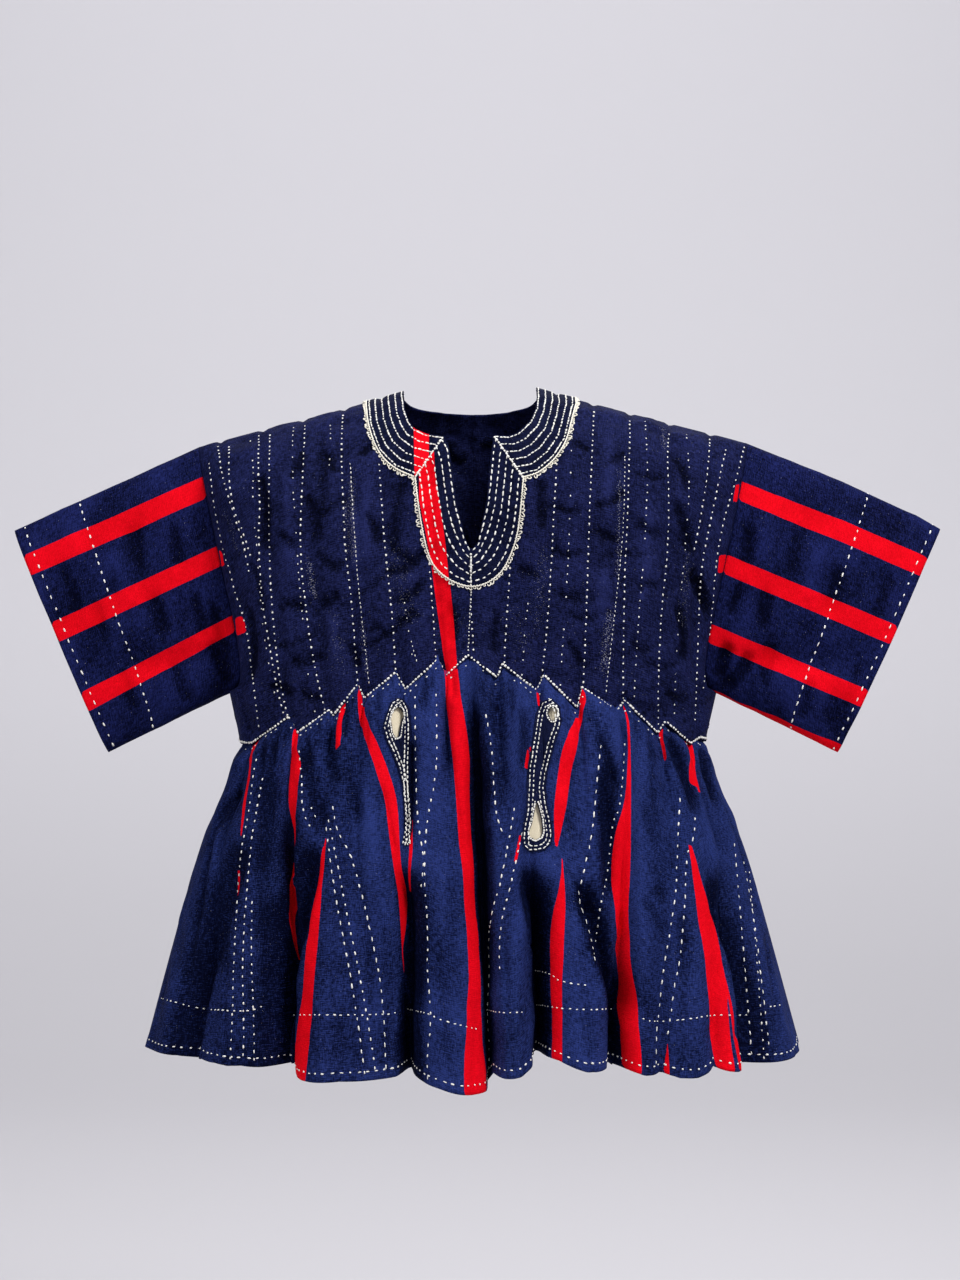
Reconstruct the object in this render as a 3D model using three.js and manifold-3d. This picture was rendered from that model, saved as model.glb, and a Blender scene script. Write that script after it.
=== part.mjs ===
// A fugu, the gathered smock of northern Ghana, filled out as it is worn.
// Millimetres, +Z up. X runs across the garment, and its front faces -Y.
// The origin lies between the two points where the neckline crosses the shoulders.
import * as THREE from "three";
import { mergeVertices } from "three/addons/utils/BufferGeometryUtils.js";
import Module from "manifold-3d";

const wasm = await Module();
wasm.setup();

// ---- driving dimensions ----
const WALL = 2; // thickness of the woven cloth
const SEAM = 0.3; // gap between front and back
const FRONT = -1;
const BACK = 1;

// Shoulder ridge, where front and back meet
const RIDGE_CENTRE_Z = 21.7; // height that the ridge line would have at the middle of the neck
const RIDGE_SLOPE = 0.263; // drop for each millimetre outward
const SHOULDER_X = 297; // shoulder tip, where the sleeve is sewn on

// Body at the waist seam: a superellipse
const WAIST_HALF = 252;
const WAIST_POWER = 2.5;
const WAIST_DEPTH = { [FRONT]: 118, [BACK]: 106 };
const WAIST_CENTRE_Z = -292; // waist line at the middle, without its teeth
const WAIST_SIDE_DROP = 84; // how much lower it hangs at the sides
const WAIST_RISE_POWER = 1.25;
const WAIST_GAP = 0.6; // between bodice and skirt, square to the toothed seam
const SHARPEST = 0.4; // limits how far the gap grows at a tooth's point

// Rounding of the cloth over the shoulders
const ROUND_CENTRE = { [FRONT]: 165, [BACK]: 112 };
const ROUND_TIP = 55;
const ROUND_POWER = 1.5;
const NARROWING = 1.8; // above 1 the strips run straight down at first and narrow near the waist

// Armhole
const UNDERARM_RISE = 54; // above the waist seam at the side
const ARM_HALF_DEPTH = 42;
const ARM_INSET = 30; // how far the armhole's front edge lies inside the line from tip to underarm
const ARM_FADE = 1.5; // how quickly the arm's fullness dies away towards the chest
const INSET_FADE = 0.8;
const INSET_RISE = 0.7; // below 1 the inset sets in soon under the shoulder tip
const LENS_POWER = 2.6;
const STRIP_PUFF = 2.5; // how far a strip stands out between its two seams
const PUFF_RISE = 0.4; // share of the way to the underarm in which it swells
const CHANNEL_HALF = 2; // half the width of the channel at a strip's seam, on the shoulder

// Sleeves: the cuff's upper and lower corner
const CUFF_TOP_Z = -147;
const CUFF_BOTTOM_Z = -388;
const CUFF_HALF_DEPTH = 24;
const CUFF_POWER = 2.2;
const SLEEVE_GAP_TOP = 0.45; // gap to the bodice along the sleeve, at the shoulder tip
const SLEEVE_GAP_UNDER = 0.9; // the same at the underarm, where the cloth turns sharply
const sleeves = [
  { name: "sleeve_left", hand: -1, topX: -498, bottomX: -396 },
  { name: "sleeve_right", hand: 1, topX: 507, bottomX: 396 },
];
// Each row is a drag fold of the sleeve: its place on the way from top to bottom at the armhole and
// at the cuff, its width as a share of that way, and its depth.
const sleeveFolds = [
  { seamAt: 0.86, cuffAt: 0.62, width: 0.07, deep: 7 },
  { seamAt: 0.12, cuffAt: 0.34, width: 0.08, deep: 4 },
];

// Skirt
const HEM_HALF = 354;
const HEM_POWER = 2.15;
const HEM_DEPTH = { [FRONT]: 198, [BACK]: 186 };
const FLARE_POWER = 0.8;
const GATHER = 11; // how far a gathered puff stands out under its scallop
const GATHER_RISE = 0.06; // share of the skirt's length in which a puff swells
const GATHER_END = 0.5; // share of the length at which the puffs have melted away
const CREST_SHARP = 0.7; // below 1 a fold has a round crest and steep flanks
const PUFF_SHARP = 0.8; // the same for a gathered puff
const CREST_DROP = 7; // how much lower the hem hangs at a crest than at the valleys beside it
const OPEN_EARLY = 1.15; // a valley reaches its full depth this much before the hem
const FANNING = 0.9; // below 1 the columns fan out early below the waist

// Each row is a seam between two woven strips: where it meets the shoulder ridge, and the two ends
// of its step in the toothed waist seam.
const strips = [
  { ridge: -297, leftX: -252, leftZ: -376, rightX: -252, rightZ: -376 },
  { ridge: -273, leftX: -237, leftZ: -379, rightX: -237, rightZ: -379 },
  { ridge: -227, leftX: -194, leftZ: -349, rightX: -186, rightZ: -366 },
  { ridge: -184, leftX: -151, leftZ: -341, rightX: -146, rightZ: -348 },
  { ridge: -139, leftX: -120, leftZ: -314, rightX: -114, rightZ: -331 },
  { ridge: -99, leftX: -80, leftZ: -302, rightX: -71, rightZ: -319 },
  { ridge: -49, leftX: -36, leftZ: -288, rightX: -28, rightZ: -306 },
  { ridge: -3, leftX: -4, leftZ: -284, rightX: -4, rightZ: -284 },
  { ridge: 39, leftX: 25, leftZ: -307, rightX: 32, rightZ: -294 },
  { ridge: 90, leftX: 67, leftZ: -321, rightX: 74, rightZ: -305 },
  { ridge: 130, leftX: 109, leftZ: -339, rightX: 115, rightZ: -317 },
  { ridge: 170, leftX: 151, leftZ: -343, rightX: 159, rightZ: -332 },
  { ridge: 213, leftX: 195, leftZ: -366, rightX: 203, rightZ: -354 },
  { ridge: 257, leftX: 232, leftZ: -378, rightX: 240, rightZ: -372 },
  { ridge: 297, leftX: 252, leftZ: -376, rightX: 252, rightZ: -376 },
];

// Each row is a valley between two folds of the skirt: where it starts under the waist seam, where
// it meets the hem and how low the hem hangs there, how deep it is, the share of the length at
// which it opens, and how far the crest of the fold to its right leans sideways.
const folds = {
  [FRONT]: [
    { waistX: -252, hemX: -354, hemZ: -706, deep: 0, opens: 0.2, lean: 0 },
    { waistX: -237, hemX: -297, hemZ: -693, deep: 16, opens: 0.1, lean: 4 },
    { waistX: -186, hemX: -199, hemZ: -708, deep: 56, opens: 0.0, lean: -6 },
    { waistX: -71, hemX: -71, hemZ: -707, deep: 46, opens: 0.36, lean: 7 },
    { waistX: -4, hemX: 17, hemZ: -713, deep: 54, opens: 0.04, lean: 1 },
    { waistX: 50, hemX: 71, hemZ: -700, deep: 58, opens: 0.4, lean: 1 },
    { waistX: 151, hemX: 151, hemZ: -703, deep: 50, opens: 0.2, lean: 3 },
    { waistX: 177, hemX: 198, hemZ: -714, deep: 14, opens: 0.35, lean: 0 },
    { waistX: 218, hemX: 256, hemZ: -712, deep: 12, opens: 0.4, lean: 0 },
    { waistX: 232, hemX: 290, hemZ: -718, deep: 34, opens: 0.1, lean: 4 },
    { waistX: 252, hemX: 354, hemZ: -714, deep: 0, opens: 0.2, lean: 0 },
  ],
  [BACK]: [
    { waistX: -252, hemX: -354, hemZ: -706, deep: 0, opens: 0.2, lean: 0 },
    { waistX: -232, hemX: -282, hemZ: -706, deep: 30, opens: 0.1, lean: 2 },
    { waistX: -151, hemX: -190, hemZ: -716, deep: 40, opens: 0.15, lean: 2 },
    { waistX: -109, hemX: -118, hemZ: -708, deep: 26, opens: 0.3, lean: -4 },
    { waistX: -25, hemX: -36, hemZ: -718, deep: 44, opens: 0.1, lean: 2 },
    { waistX: 28, hemX: 44, hemZ: -712, deep: 34, opens: 0.3, lean: 0 },
    { waistX: 114, hemX: 124, hemZ: -720, deep: 36, opens: 0.05, lean: 2 },
    { waistX: 186, hemX: 205, hemZ: -708, deep: 36, opens: 0.25, lean: 4 },
    { waistX: 237, hemX: 286, hemZ: -716, deep: 28, opens: 0.15, lean: -4 },
    { waistX: 252, hemX: 354, hemZ: -714, deep: 0, opens: 0.2, lean: 0 },
  ],
};

// Neck band: outlines seen square to the front or back, as half widths at heights
const NECK_X = -3; // middle of the neck
const FACING_WALL = 1.4;
const LAID_ON = 0.3; // gap under a piece that is sewn onto a panel
const neckHole = {
  [FRONT]: [
    { half: 73, z: -2 },
    { half: 70, z: -20 },
    { half: 62, z: -36 },
    { half: 50, z: -45 },
    { half: 27, z: -49 },
    { half: 22, z: -64 },
    { half: 19, z: -92 },
    { half: 15, z: -122 },
    { half: 9, z: -156 },
    { half: 3.5, z: -171 },
  ],
  [BACK]: [
    { half: 73, z: -2 },
    { half: 66, z: -8 },
    { half: 50, z: -12 },
    { half: 25, z: -14.5 },
  ],
};
const neckBand = {
  [FRONT]: [
    { half: 113, z: -12 },
    { half: 110, z: -34 },
    { half: 101, z: -62 },
    { half: 84, z: -83 },
    { half: 70, z: -91 },
    { half: 57, z: -94 },
    { half: 55, z: -128 },
    { half: 49, z: -160 },
    { half: 40, z: -184 },
    { half: 24, z: -202 },
    { half: 8, z: -209 },
  ],
  [BACK]: [
    { half: 113, z: -12 },
    { half: 108, z: -30 },
    { half: 94, z: -48 },
    { half: 70, z: -60 },
    { half: 40, z: -66 },
    { half: 14, z: -68 },
  ],
};

// Pocket facings on the front of the skirt: outline and slits, each row a height with its left and
// right edge
const pockets = [
  {
    name: "left",
    outline: [
      { z: -325, left: -78, right: -66 },
      { z: -331, left: -87, right: -60 },
      { z: -343, left: -91, right: -57 },
      { z: -362, left: -90, right: -58 },
      { z: -386, left: -86, right: -60 },
      { z: -414, left: -79, right: -62 },
      { z: -446, left: -74, right: -62 },
      { z: -478, left: -72, right: -62 },
      { z: -485, left: -69, right: -65 },
    ],
    slits: [
      [
        { z: -335, left: -82, right: -77 },
        { z: -344, left: -85, right: -73 },
        { z: -358, left: -84, right: -74 },
        { z: -368, left: -81, right: -76 },
      ],
    ],
  },
  {
    name: "right",
    outline: [
      { z: -326, left: 76, right: 84 },
      { z: -333, left: 71, right: 90 },
      { z: -346, left: 66, right: 89 },
      { z: -370, left: 61, right: 85 },
      { z: -398, left: 56, right: 80 },
      { z: -424, left: 53, right: 79 },
      { z: -450, left: 51, right: 82 },
      { z: -470, left: 50, right: 82 },
      { z: -482, left: 55, right: 77 },
      { z: -487, left: 62, right: 70 },
    ],
    slits: [
      [
        { z: -337, left: 79, right: 83 },
        { z: -343, left: 77, right: 85 },
        { z: -353, left: 80, right: 83 },
      ],
      [
        { z: -436, left: 65, right: 67 },
        { z: -452, left: 60, right: 70 },
        { z: -466, left: 57, right: 72 },
        { z: -474, left: 60, right: 69 },
      ],
    ],
  },
];
const LINING_MARGIN = 7; // how far the lining reaches past its slits
const LINING_WALL = 1.2;

// Mesh steps
const BODICE_ROWS = [0, 0.06, 0.13, 0.21, 0.3, 0.4, 0.51, 0.62, 0.73, 0.83, 0.91, 0.965, 1, 1.4, 2];
const ROW_POWER = 1.7; // rows crowd together near the shoulder ridge
const STEPS_AT_SIDE = 4;
const STEPS_IN_STRIP = 2;
const SLEEVE_STEPS = 9;
const SKIRT_ROWS = [0, 0.03, 0.07, 0.13, 0.21, 0.3, 0.4, 0.52, 0.65, 0.78, 0.9, 1];
const SKIRT_STEP = 19; // widest column at the hem

// ---- small helpers ----
const mix = (a, b, t) => a + (b - a) * t;
const clamp01 = (t) => Math.min(1, Math.max(0, t));
const smooth = (t) => clamp01(t) ** 2 * (3 - 2 * clamp01(t));
const vec = (x, y, z) => new THREE.Vector3(x, y, z);

// Value of a table's column at x, between its rows.
function lookup(rows, key, column, x) {
  const last = rows.length - 1;
  if (x <= rows[0][key]) return rows[0][column];
  for (let i = 0; i < last; i++) {
    const [a, b] = [rows[i], rows[i + 1]];
    if (x <= b[key]) return mix(a[column], b[column], (x - a[key]) / (b[key] - a[key] || 1));
  }
  return rows[last][column];
}

// The back repeats the front's strips as in a mirror.
const mirrored = strips
  .map((s) => ({
    ridge: -s.ridge,
    leftX: -s.rightX,
    leftZ: s.rightZ,
    rightX: -s.leftX,
    rightZ: s.leftZ,
  }))
  .reverse();
const stripsOf = { [FRONT]: strips, [BACK]: mirrored };

// ---- superellipse sections ----
const angleAt = (share, power) => Math.sign(share) * Math.asin(clamp01(Math.abs(share)) ** (power / 2));
const across = (angle, power) => Math.sign(angle) * Math.abs(Math.sin(angle)) ** (2 / power);
const depthShare = (angle, power) => Math.abs(Math.cos(angle)) ** (2 / power);
const waistAngleOf = (x) => angleAt(x / WAIST_HALF, WAIST_POWER);

// ---- bodice ----
const ridgeZ = (x) => RIDGE_CENTRE_Z - RIDGE_SLOPE * Math.abs(x);
const lens = (t, power) => Math.max(0, 1 - Math.abs(2 * t - 1) ** power) ** (1 / power);
const plainWaistZ = (share) =>
  WAIST_CENTRE_Z - WAIST_SIDE_DROP * Math.abs(share) ** WAIST_RISE_POWER;

// Columns of the bodice: one on each side of a strip's seam, and others between them.
function bodiceColumns(side) {
  const ends = stripsOf[side].map((s) => {
    const channel = s.leftX === s.rightX ? 0 : CHANNEL_HALF;
    return [
      { ridge: s.ridge - channel, x: s.leftX, z: s.leftZ, puff: 0 },
      { ridge: s.ridge + channel, x: s.rightX, z: s.rightZ, puff: 0 },
    ];
  });
  const columns = [ends[0][0]];
  for (let i = 0; i < ends.length - 1; i++) {
    const [start, end] = [ends[i][1], ends[i + 1][0]];
    if (start.x !== ends[i][0].x) columns.push(start);
    const outermost = i === 0 || i === ends.length - 2;
    const steps = outermost ? STEPS_AT_SIDE : STEPS_IN_STRIP;
    for (let k = 1; k < steps; k++) {
      const t = k / steps;
      columns.push({
        ridge: mix(start.ridge, end.ridge, t),
        x: WAIST_HALF * across(mix(waistAngleOf(start.x), waistAngleOf(end.x), t), WAIST_POWER),
        z: mix(start.z, end.z, t),
        puff: Math.sin(Math.PI * t),
      });
    }
    columns.push(end);
  }
  return columns;
}

// A point of the bodice. row runs from 0 on the ridge to 1 level with the underarm and 2 on the
// waist seam.
function bodicePoint(side, column, row) {
  const share = column.x / WAIST_HALF;
  const fullness = Math.abs(share) >= 1 ? 0 : depthShare(waistAngleOf(column.x), WAIST_POWER);
  const top = ridgeZ(column.ridge);
  const knee = plainWaistZ(share) + UNDERARM_RISE;
  const down = Math.min(row, 1) ** ROW_POWER;
  const z = row <= 1 ? mix(top, knee, down) : mix(knee, column.z, row - 1);
  const tip = (Math.abs(column.ridge) / SHOULDER_X) ** ROUND_POWER;
  const round = mix(ROUND_CENTRE[side], ROUND_TIP, tip);
  const turn = Math.acos(1 - Math.min(1, (top - z) / round));
  const open = lens(down, LENS_POWER);
  const depth =
    WAIST_DEPTH[side] * fullness * Math.sin(turn) +
    ARM_HALF_DEPTH * open * (1 - fullness) ** ARM_FADE +
    STRIP_PUFF * column.puff * fullness * smooth(down / PUFF_RISE);
  const reach = mix(column.ridge, column.x, ((top - z) / (top - column.z)) ** NARROWING);
  const inset = ARM_INSET * open * (1 - fullness) ** INSET_FADE * down ** INSET_RISE;
  const x = reach - Math.sign(share) * inset;
  return vec(x, side * Math.max(depth, SEAM / 2), z);
}

const bodiceGrid = (side) =>
  BODICE_ROWS.map((row) => bodiceColumns(side).map((c) => bodicePoint(side, c, row)));

// ---- skirt ----
// Columns of the skirt: the bodice's, with more between them where the folds need them.
function skirtColumns(side, waistEdge) {
  const valleys = folds[side].map((f) => ({
    ...f,
    waistAngle: waistAngleOf(f.waistX),
    hemAngle: angleAt(f.hemX / HEM_HALF, HEM_POWER),
  }));
  const hemAngleOf = (point) => lookup(valleys, "waistAngle", "hemAngle", waistAngleOf(point.x));
  const column = (point) => {
    const waistAngle = waistAngleOf(point.x);
    const found = valleys.findIndex((v) => waistAngle < v.waistAngle);
    const k = found < 0 ? valleys.length - 1 : Math.max(1, found);
    const [a, b] = [valleys[k - 1], valleys[k]];
    const u = clamp01((waistAngle - a.waistAngle) / (b.waistAngle - a.waistAngle));
    return { point, waistAngle, hemAngle: hemAngleOf(point), a, b, u, gather: gatherAt(side, point.x) };
  };
  const columns = [];
  for (let i = 0; i < waistEdge.length - 1; i++) {
    const [start, end] = [waistEdge[i], waistEdge[i + 1]];
    const [from, to] = [hemAngleOf(start), hemAngleOf(end)];
    const wide = HEM_HALF * (across(to, HEM_POWER) - across(from, HEM_POWER));
    const deep = HEM_DEPTH[side] * (depthShare(to, HEM_POWER) - depthShare(from, HEM_POWER));
    const steps = Math.ceil(Math.hypot(wide, deep) / SKIRT_STEP);
    for (let j = 0; j < steps; j++) columns.push(column(start.clone().lerp(end, j / steps)));
  }
  columns.push(column(waistEdge[waistEdge.length - 1]));
  return columns;
}

// How far a point of the waist seam is between the low ends of two teeth: 0 and 1 at the low ends.
function gatherAt(side, x) {
  const lows = stripsOf[side].map((s) => (s.leftZ < s.rightZ ? s.leftX : s.rightX));
  const found = lows.findIndex((low, i) => i > 0 && x <= low);
  const next = found < 0 ? lows.length - 1 : found;
  return clamp01((x - lows[next - 1]) / (lows[next] - lows[next - 1]));
}

// A point of the skirt, down its length from 0 at the waist seam to 1 at the hem.
function skirtPoint(side, column, down) {
  const flare = down ** FLARE_POWER;
  const power = mix(WAIST_POWER, HEM_POWER, down);
  const half = mix(WAIST_HALF, HEM_HALF, flare);
  const full = mix(WAIST_DEPTH[side], HEM_DEPTH[side], flare);
  const angle = mix(column.waistAngle, column.hemAngle, down ** FANNING);
  const x = half * across(angle, power);
  const y = full * depthShare(angle, power);
  // Outward direction of the section, and the direction along it
  const nx = (Math.sign(x) * (Math.abs(x) / half) ** (power - 1)) / half;
  const ny = (y / full) ** (power - 1) / full;
  const size = Math.hypot(nx, ny) || 1;
  const out = [nx / size, ny / size];
  const along = [ny / size, -nx / size];
  // Folds
  const { a, b, u } = column;
  const crest = Math.sin(Math.PI * u) ** CREST_SHARP;
  const [openA, openB] = [a, b].map((v) => smooth((OPEN_EARLY * (down - v.opens)) / (1 - v.opens)));
  const sunk = -(1 - crest) * mix(a.deep * openA, b.deep * openB, u);
  const lean = a.lean * crest * Math.min(openA, openB);
  // Gathered puffs under the teeth
  const puff =
    GATHER *
    Math.sin(Math.PI * column.gather) ** PUFF_SHARP *
    smooth(down / GATHER_RISE) *
    (1 - smooth(down / GATHER_END));
  const away = sunk + puff;
  const hemZ = mix(a.hemZ, b.hemZ, u) - CREST_DROP * crest;
  const point = vec(
    x + away * out[0] + lean * along[0],
    side * Math.max(y + away * out[1] + lean * along[1], SEAM / 2),
    mix(column.point.z, hemZ, down),
  );
  // The first rows meet the bodice's edge
  const start = vec(
    WAIST_HALF * across(column.waistAngle, WAIST_POWER),
    side * WAIST_DEPTH[side] * depthShare(column.waistAngle, WAIST_POWER),
    column.point.z,
  );
  return point.addScaledVector(column.point.clone().sub(start), (1 - down) ** 4);
}

// The bodice's edge moved down by the seam's gap, square to the teeth.
function edgeBelow(edge, normals) {
  return edge.map((p, i) => {
    const before = edge[Math.max(0, i - 1)];
    const after = edge[Math.min(edge.length - 1, i + 1)];
    const down = [
      [before, p],
      [p, after],
    ]
      .filter(([a, b]) => a.distanceTo(b) > 1e-6)
      .map(([a, b]) => normals[i].clone().cross(b.clone().sub(a)).normalize())
      .map((d) => (d.z > 0 ? d.negate() : d));
    const mean = down.reduce((sum, d) => sum.add(d), vec(0, 0, 0)).normalize();
    const miter = 1 / Math.max(SHARPEST, mean.dot(down[0]));
    return p.clone().addScaledVector(mean, WAIST_GAP * miter);
  });
}

// ---- walls ----
// Outward normals of a grid of points, by the directions of its rows and columns.
function normalsOf(grid, sign, ring = false) {
  const rows = grid.length;
  const columns = grid[0].length;
  const step = (c) => (ring ? (c + columns) % columns : Math.min(columns - 1, Math.max(0, c)));
  return grid.map((line, r) =>
    line.map((_, c) => {
      const along = grid[r][step(c + 1)].clone().sub(grid[r][step(c - 1)]);
      const down = grid[Math.min(rows - 1, r + 1)][c].clone().sub(grid[Math.max(0, r - 1)][c]);
      return down.cross(along).multiplyScalar(sign).normalize();
    }),
  );
}

// A closed wall between two distances from a grid of points.
function wall(grid, normals, outer, inner, ring = false) {
  const rows = grid.length;
  const columns = grid[0].length;
  const positions = [];
  for (const away of [outer, inner]) {
    grid.forEach((line, r) =>
      line.forEach((p, c) => {
        positions.push(...p.clone().addScaledVector(normals[r][c], away).toArray());
      }),
    );
  }
  const at = (layer, r, c) => layer * rows * columns + r * columns + (c % columns);
  const index = [];
  const quad = (a, b, c, d) => index.push(a, b, c, a, c, d);
  const across = ring ? columns : columns - 1;
  for (let r = 0; r < rows - 1; r++) {
    for (let c = 0; c < across; c++) {
      quad(at(0, r, c), at(0, r + 1, c), at(0, r + 1, c + 1), at(0, r, c + 1));
      quad(at(1, r, c), at(1, r, c + 1), at(1, r + 1, c + 1), at(1, r + 1, c));
    }
  }
  for (let c = 0; c < across; c++) {
    quad(at(0, 0, c), at(0, 0, c + 1), at(1, 0, c + 1), at(1, 0, c));
    quad(at(0, rows - 1, c + 1), at(0, rows - 1, c), at(1, rows - 1, c), at(1, rows - 1, c + 1));
  }
  if (!ring) {
    const end = columns - 1;
    for (let r = 0; r < rows - 1; r++) {
      quad(at(0, r + 1, 0), at(0, r, 0), at(1, r, 0), at(1, r + 1, 0));
      quad(at(0, r, end), at(0, r + 1, end), at(1, r + 1, end), at(1, r, end));
    }
  }
  return facingOut(new Float32Array(positions), index);
}

// A geometry whose faces point out, whichever way its grid was wound.
function facingOut(positions, index) {
  const corner = (i) => vec(...positions.subarray(3 * i, 3 * i + 3));
  let volume = 0;
  for (let i = 0; i < index.length; i += 3) {
    volume += corner(index[i]).dot(corner(index[i + 1]).cross(corner(index[i + 2])));
  }
  if (volume < 0) index.reverse();
  const geometry = new THREE.BufferGeometry();
  geometry.setAttribute("position", new THREE.BufferAttribute(positions, 3));
  geometry.setIndex(index);
  return geometry;
}

// ---- cutting and joining ----
function toSolid(geometry) {
  const bare = geometry.clone();
  bare.deleteAttribute("normal");
  bare.deleteAttribute("uv");
  const merged = mergeVertices(bare, 1e-4);
  return new wasm.Manifold(
    new wasm.Mesh({
      numProp: 3,
      vertProperties: new Float32Array(merged.attributes.position.array),
      triVerts: new Uint32Array(merged.index.array),
    }),
  );
}

function toGeometry(solid) {
  const mesh = solid.getMesh();
  const geometry = new THREE.BufferGeometry();
  geometry.setAttribute("position", new THREE.BufferAttribute(mesh.vertProperties, 3));
  geometry.setIndex(new THREE.BufferAttribute(mesh.triVerts, 1));
  return geometry;
}

// A prism with its outline in X and Z that reaches from the middle of the garment out past one side.
const PRISM_REACH = 260;
function prism(outline, side) {
  const shape = new THREE.Shape(outline.map(([x, z]) => new THREE.Vector2(x, z)));
  const geometry = new THREE.ExtrudeGeometry(shape, { depth: PRISM_REACH, bevelEnabled: false });
  geometry.rotateX(Math.PI / 2);
  if (side === BACK) geometry.translate(0, PRISM_REACH, 0);
  return toSolid(geometry);
}

// An outline of half widths about the middle of the neck, open upward past the shoulders.
const ABOVE = 70;
function neckOutline(rows) {
  const right = rows.map((r) => [NECK_X + r.half, r.z]);
  const left = rows.map((r) => [NECK_X - r.half, r.z]).reverse();
  const last = rows[rows.length - 1];
  return [
    [NECK_X + rows[0].half, ABOVE],
    ...right,
    [NECK_X, last.z - 1],
    ...left,
    [NECK_X - rows[0].half, ABOVE],
  ];
}

// An outline of heights with their left and right edges.
const sideOutline = (rows) => [
  ...rows.map((r) => [r.left, r.z]),
  ...rows.map((r) => [r.right, r.z]).reverse(),
];

// ---- the pieces ----
const smock = new THREE.Group();
const colours = {
  navy: new THREE.MeshStandardMaterial({ color: 0x161d44, roughness: 0.85, metalness: 0 }),
  band: new THREE.MeshStandardMaterial({ color: 0x10173a, roughness: 0.8, metalness: 0 }),
  lining: new THREE.MeshStandardMaterial({ color: 0xb8a587, roughness: 0.95, metalness: 0 }),
};

function add(name, geometry, material) {
  const mesh = new THREE.Mesh(geometry, material);
  mesh.name = name;
  smock.add(mesh);
}

// Panels, their normals, and the normals that neighbouring pieces share along a seam
const panels = {};
for (const side of [FRONT, BACK]) {
  const body = bodiceGrid(side);
  const bodyNormals = normalsOf(body, -side);
  const last = body.length - 1;
  const end = body[0].length - 1;
  const flatten = (normal, axis) => {
    normal[axis] = 0;
    normal.normalize();
  };
  bodyNormals[0].forEach((n) => flatten(n, "y"));
  bodyNormals[last].forEach((n) => flatten(n, "z"));
  BODICE_ROWS.forEach((row, r) => {
    if (row < 1) return;
    flatten(bodyNormals[r][0], "y");
    flatten(bodyNormals[r][end], "y");
  });
  const edge = edgeBelow(body[last], bodyNormals[last]);
  const columns = skirtColumns(side, edge);
  const skirt = SKIRT_ROWS.map((down) => columns.map((c) => skirtPoint(side, c, down)));
  const skirtNormals = normalsOf(skirt, -side);
  skirtNormals[0].forEach((n) => flatten(n, "z"));
  skirtNormals.forEach((line) => {
    flatten(line[0], "y");
    flatten(line[line.length - 1], "y");
  });
  panels[side] = { body, bodyNormals, skirt, skirtNormals };
}

// Sleeves: rings from the armhole's edge to the cuff. The ring runs down the front and up the back.
const ARMHOLE_ROWS = BODICE_ROWS.filter((row) => row <= 1).length;
function sleeveGrid({ hand, topX, bottomX }) {
  const column = (side) => (hand < 0 ? 0 : panels[side].body[0].length - 1);
  const ring = [];
  for (let r = 0; r < ARMHOLE_ROWS; r++) ring.push({ side: FRONT, r });
  for (let r = ARMHOLE_ROWS - 2; r > 0; r--) ring.push({ side: BACK, r });
  const grid = [];
  for (let i = 0; i <= SLEEVE_STEPS; i++) {
    const s = i / SLEEVE_STEPS;
    grid.push(
      ring.map(({ side, r }) => {
        const seam = panels[side].body[r][column(side)].clone();
        const down = BODICE_ROWS[r] ** ROW_POWER;
        const joined = r === 0 || r === ARMHOLE_ROWS - 1;
        if (joined) seam.y = 0;
        const cuff = vec(
          mix(topX, bottomX, down),
          side * CUFF_HALF_DEPTH * lens(down, CUFF_POWER),
          mix(CUFF_TOP_Z, CUFF_BOTTOM_Z, down),
        );
        const point = seam.lerp(cuff, s);
        if (!joined) {
          for (const { seamAt, cuffAt, width, deep } of sleeveFolds) {
            const off = (down - mix(seamAt, cuffAt, s)) / width;
            point.y -= side * deep * Math.exp(-off * off) * Math.sin(Math.PI * s);
          }
        }
        if (i === 0) point.x += hand * mix(SLEEVE_GAP_TOP, SLEEVE_GAP_UNDER, down ** 3);
        return point;
      }),
    );
  }
  return { grid, ring, column };
}

for (const sleeve of sleeves) {
  const { grid, ring, column } = sleeveGrid(sleeve);
  const normals = normalsOf(grid, -sleeve.hand, true);
  ring.forEach(({ side, r }, i) => {
    const there = panels[side].bodyNormals[r][column(side)];
    const shared = normals[0][i].clone().add(there);
    if (r === 0 || r === ARMHOLE_ROWS - 1) shared.y = 0;
    shared.normalize();
    normals[0][i].copy(shared);
    there.copy(shared);
    if (r === 0 || r === ARMHOLE_ROWS - 1) {
      panels[-side].bodyNormals[r][column(-side)].copy(shared);
    }
  });
  add(sleeve.name, wall(grid, normals, 0, -WALL, true), colours.navy);
}

for (const side of [FRONT, BACK]) {
  const { body, bodyNormals, skirt, skirtNormals } = panels[side];
  const where = side === FRONT ? "front" : "back";
  const hole = prism(neckOutline(neckHole[side]), side);
  const bodice = toSolid(wall(body, bodyNormals, 0, -WALL)).subtract(hole);
  add("bodice_" + where, toGeometry(bodice), colours.navy);

  // The neck band lies on the bodice, made from its upper rows moved out
  const upper = body.slice(0, -2);
  const over = toSolid(wall(upper, bodyNormals, LAID_ON + FACING_WALL, LAID_ON));
  const band = over.intersect(prism(neckOutline(neckBand[side]), side)).subtract(hole);
  add("neck_band_" + where, toGeometry(band), colours.band);

  let cloth = toSolid(wall(skirt, skirtNormals, 0, -WALL));
  if (side === FRONT) {
    for (const pocket of pockets) {
      for (const slit of pocket.slits) cloth = cloth.subtract(prism(sideOutline(slit), side));
    }
  }
  add("skirt_" + where, toGeometry(cloth), colours.navy);
}

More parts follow.
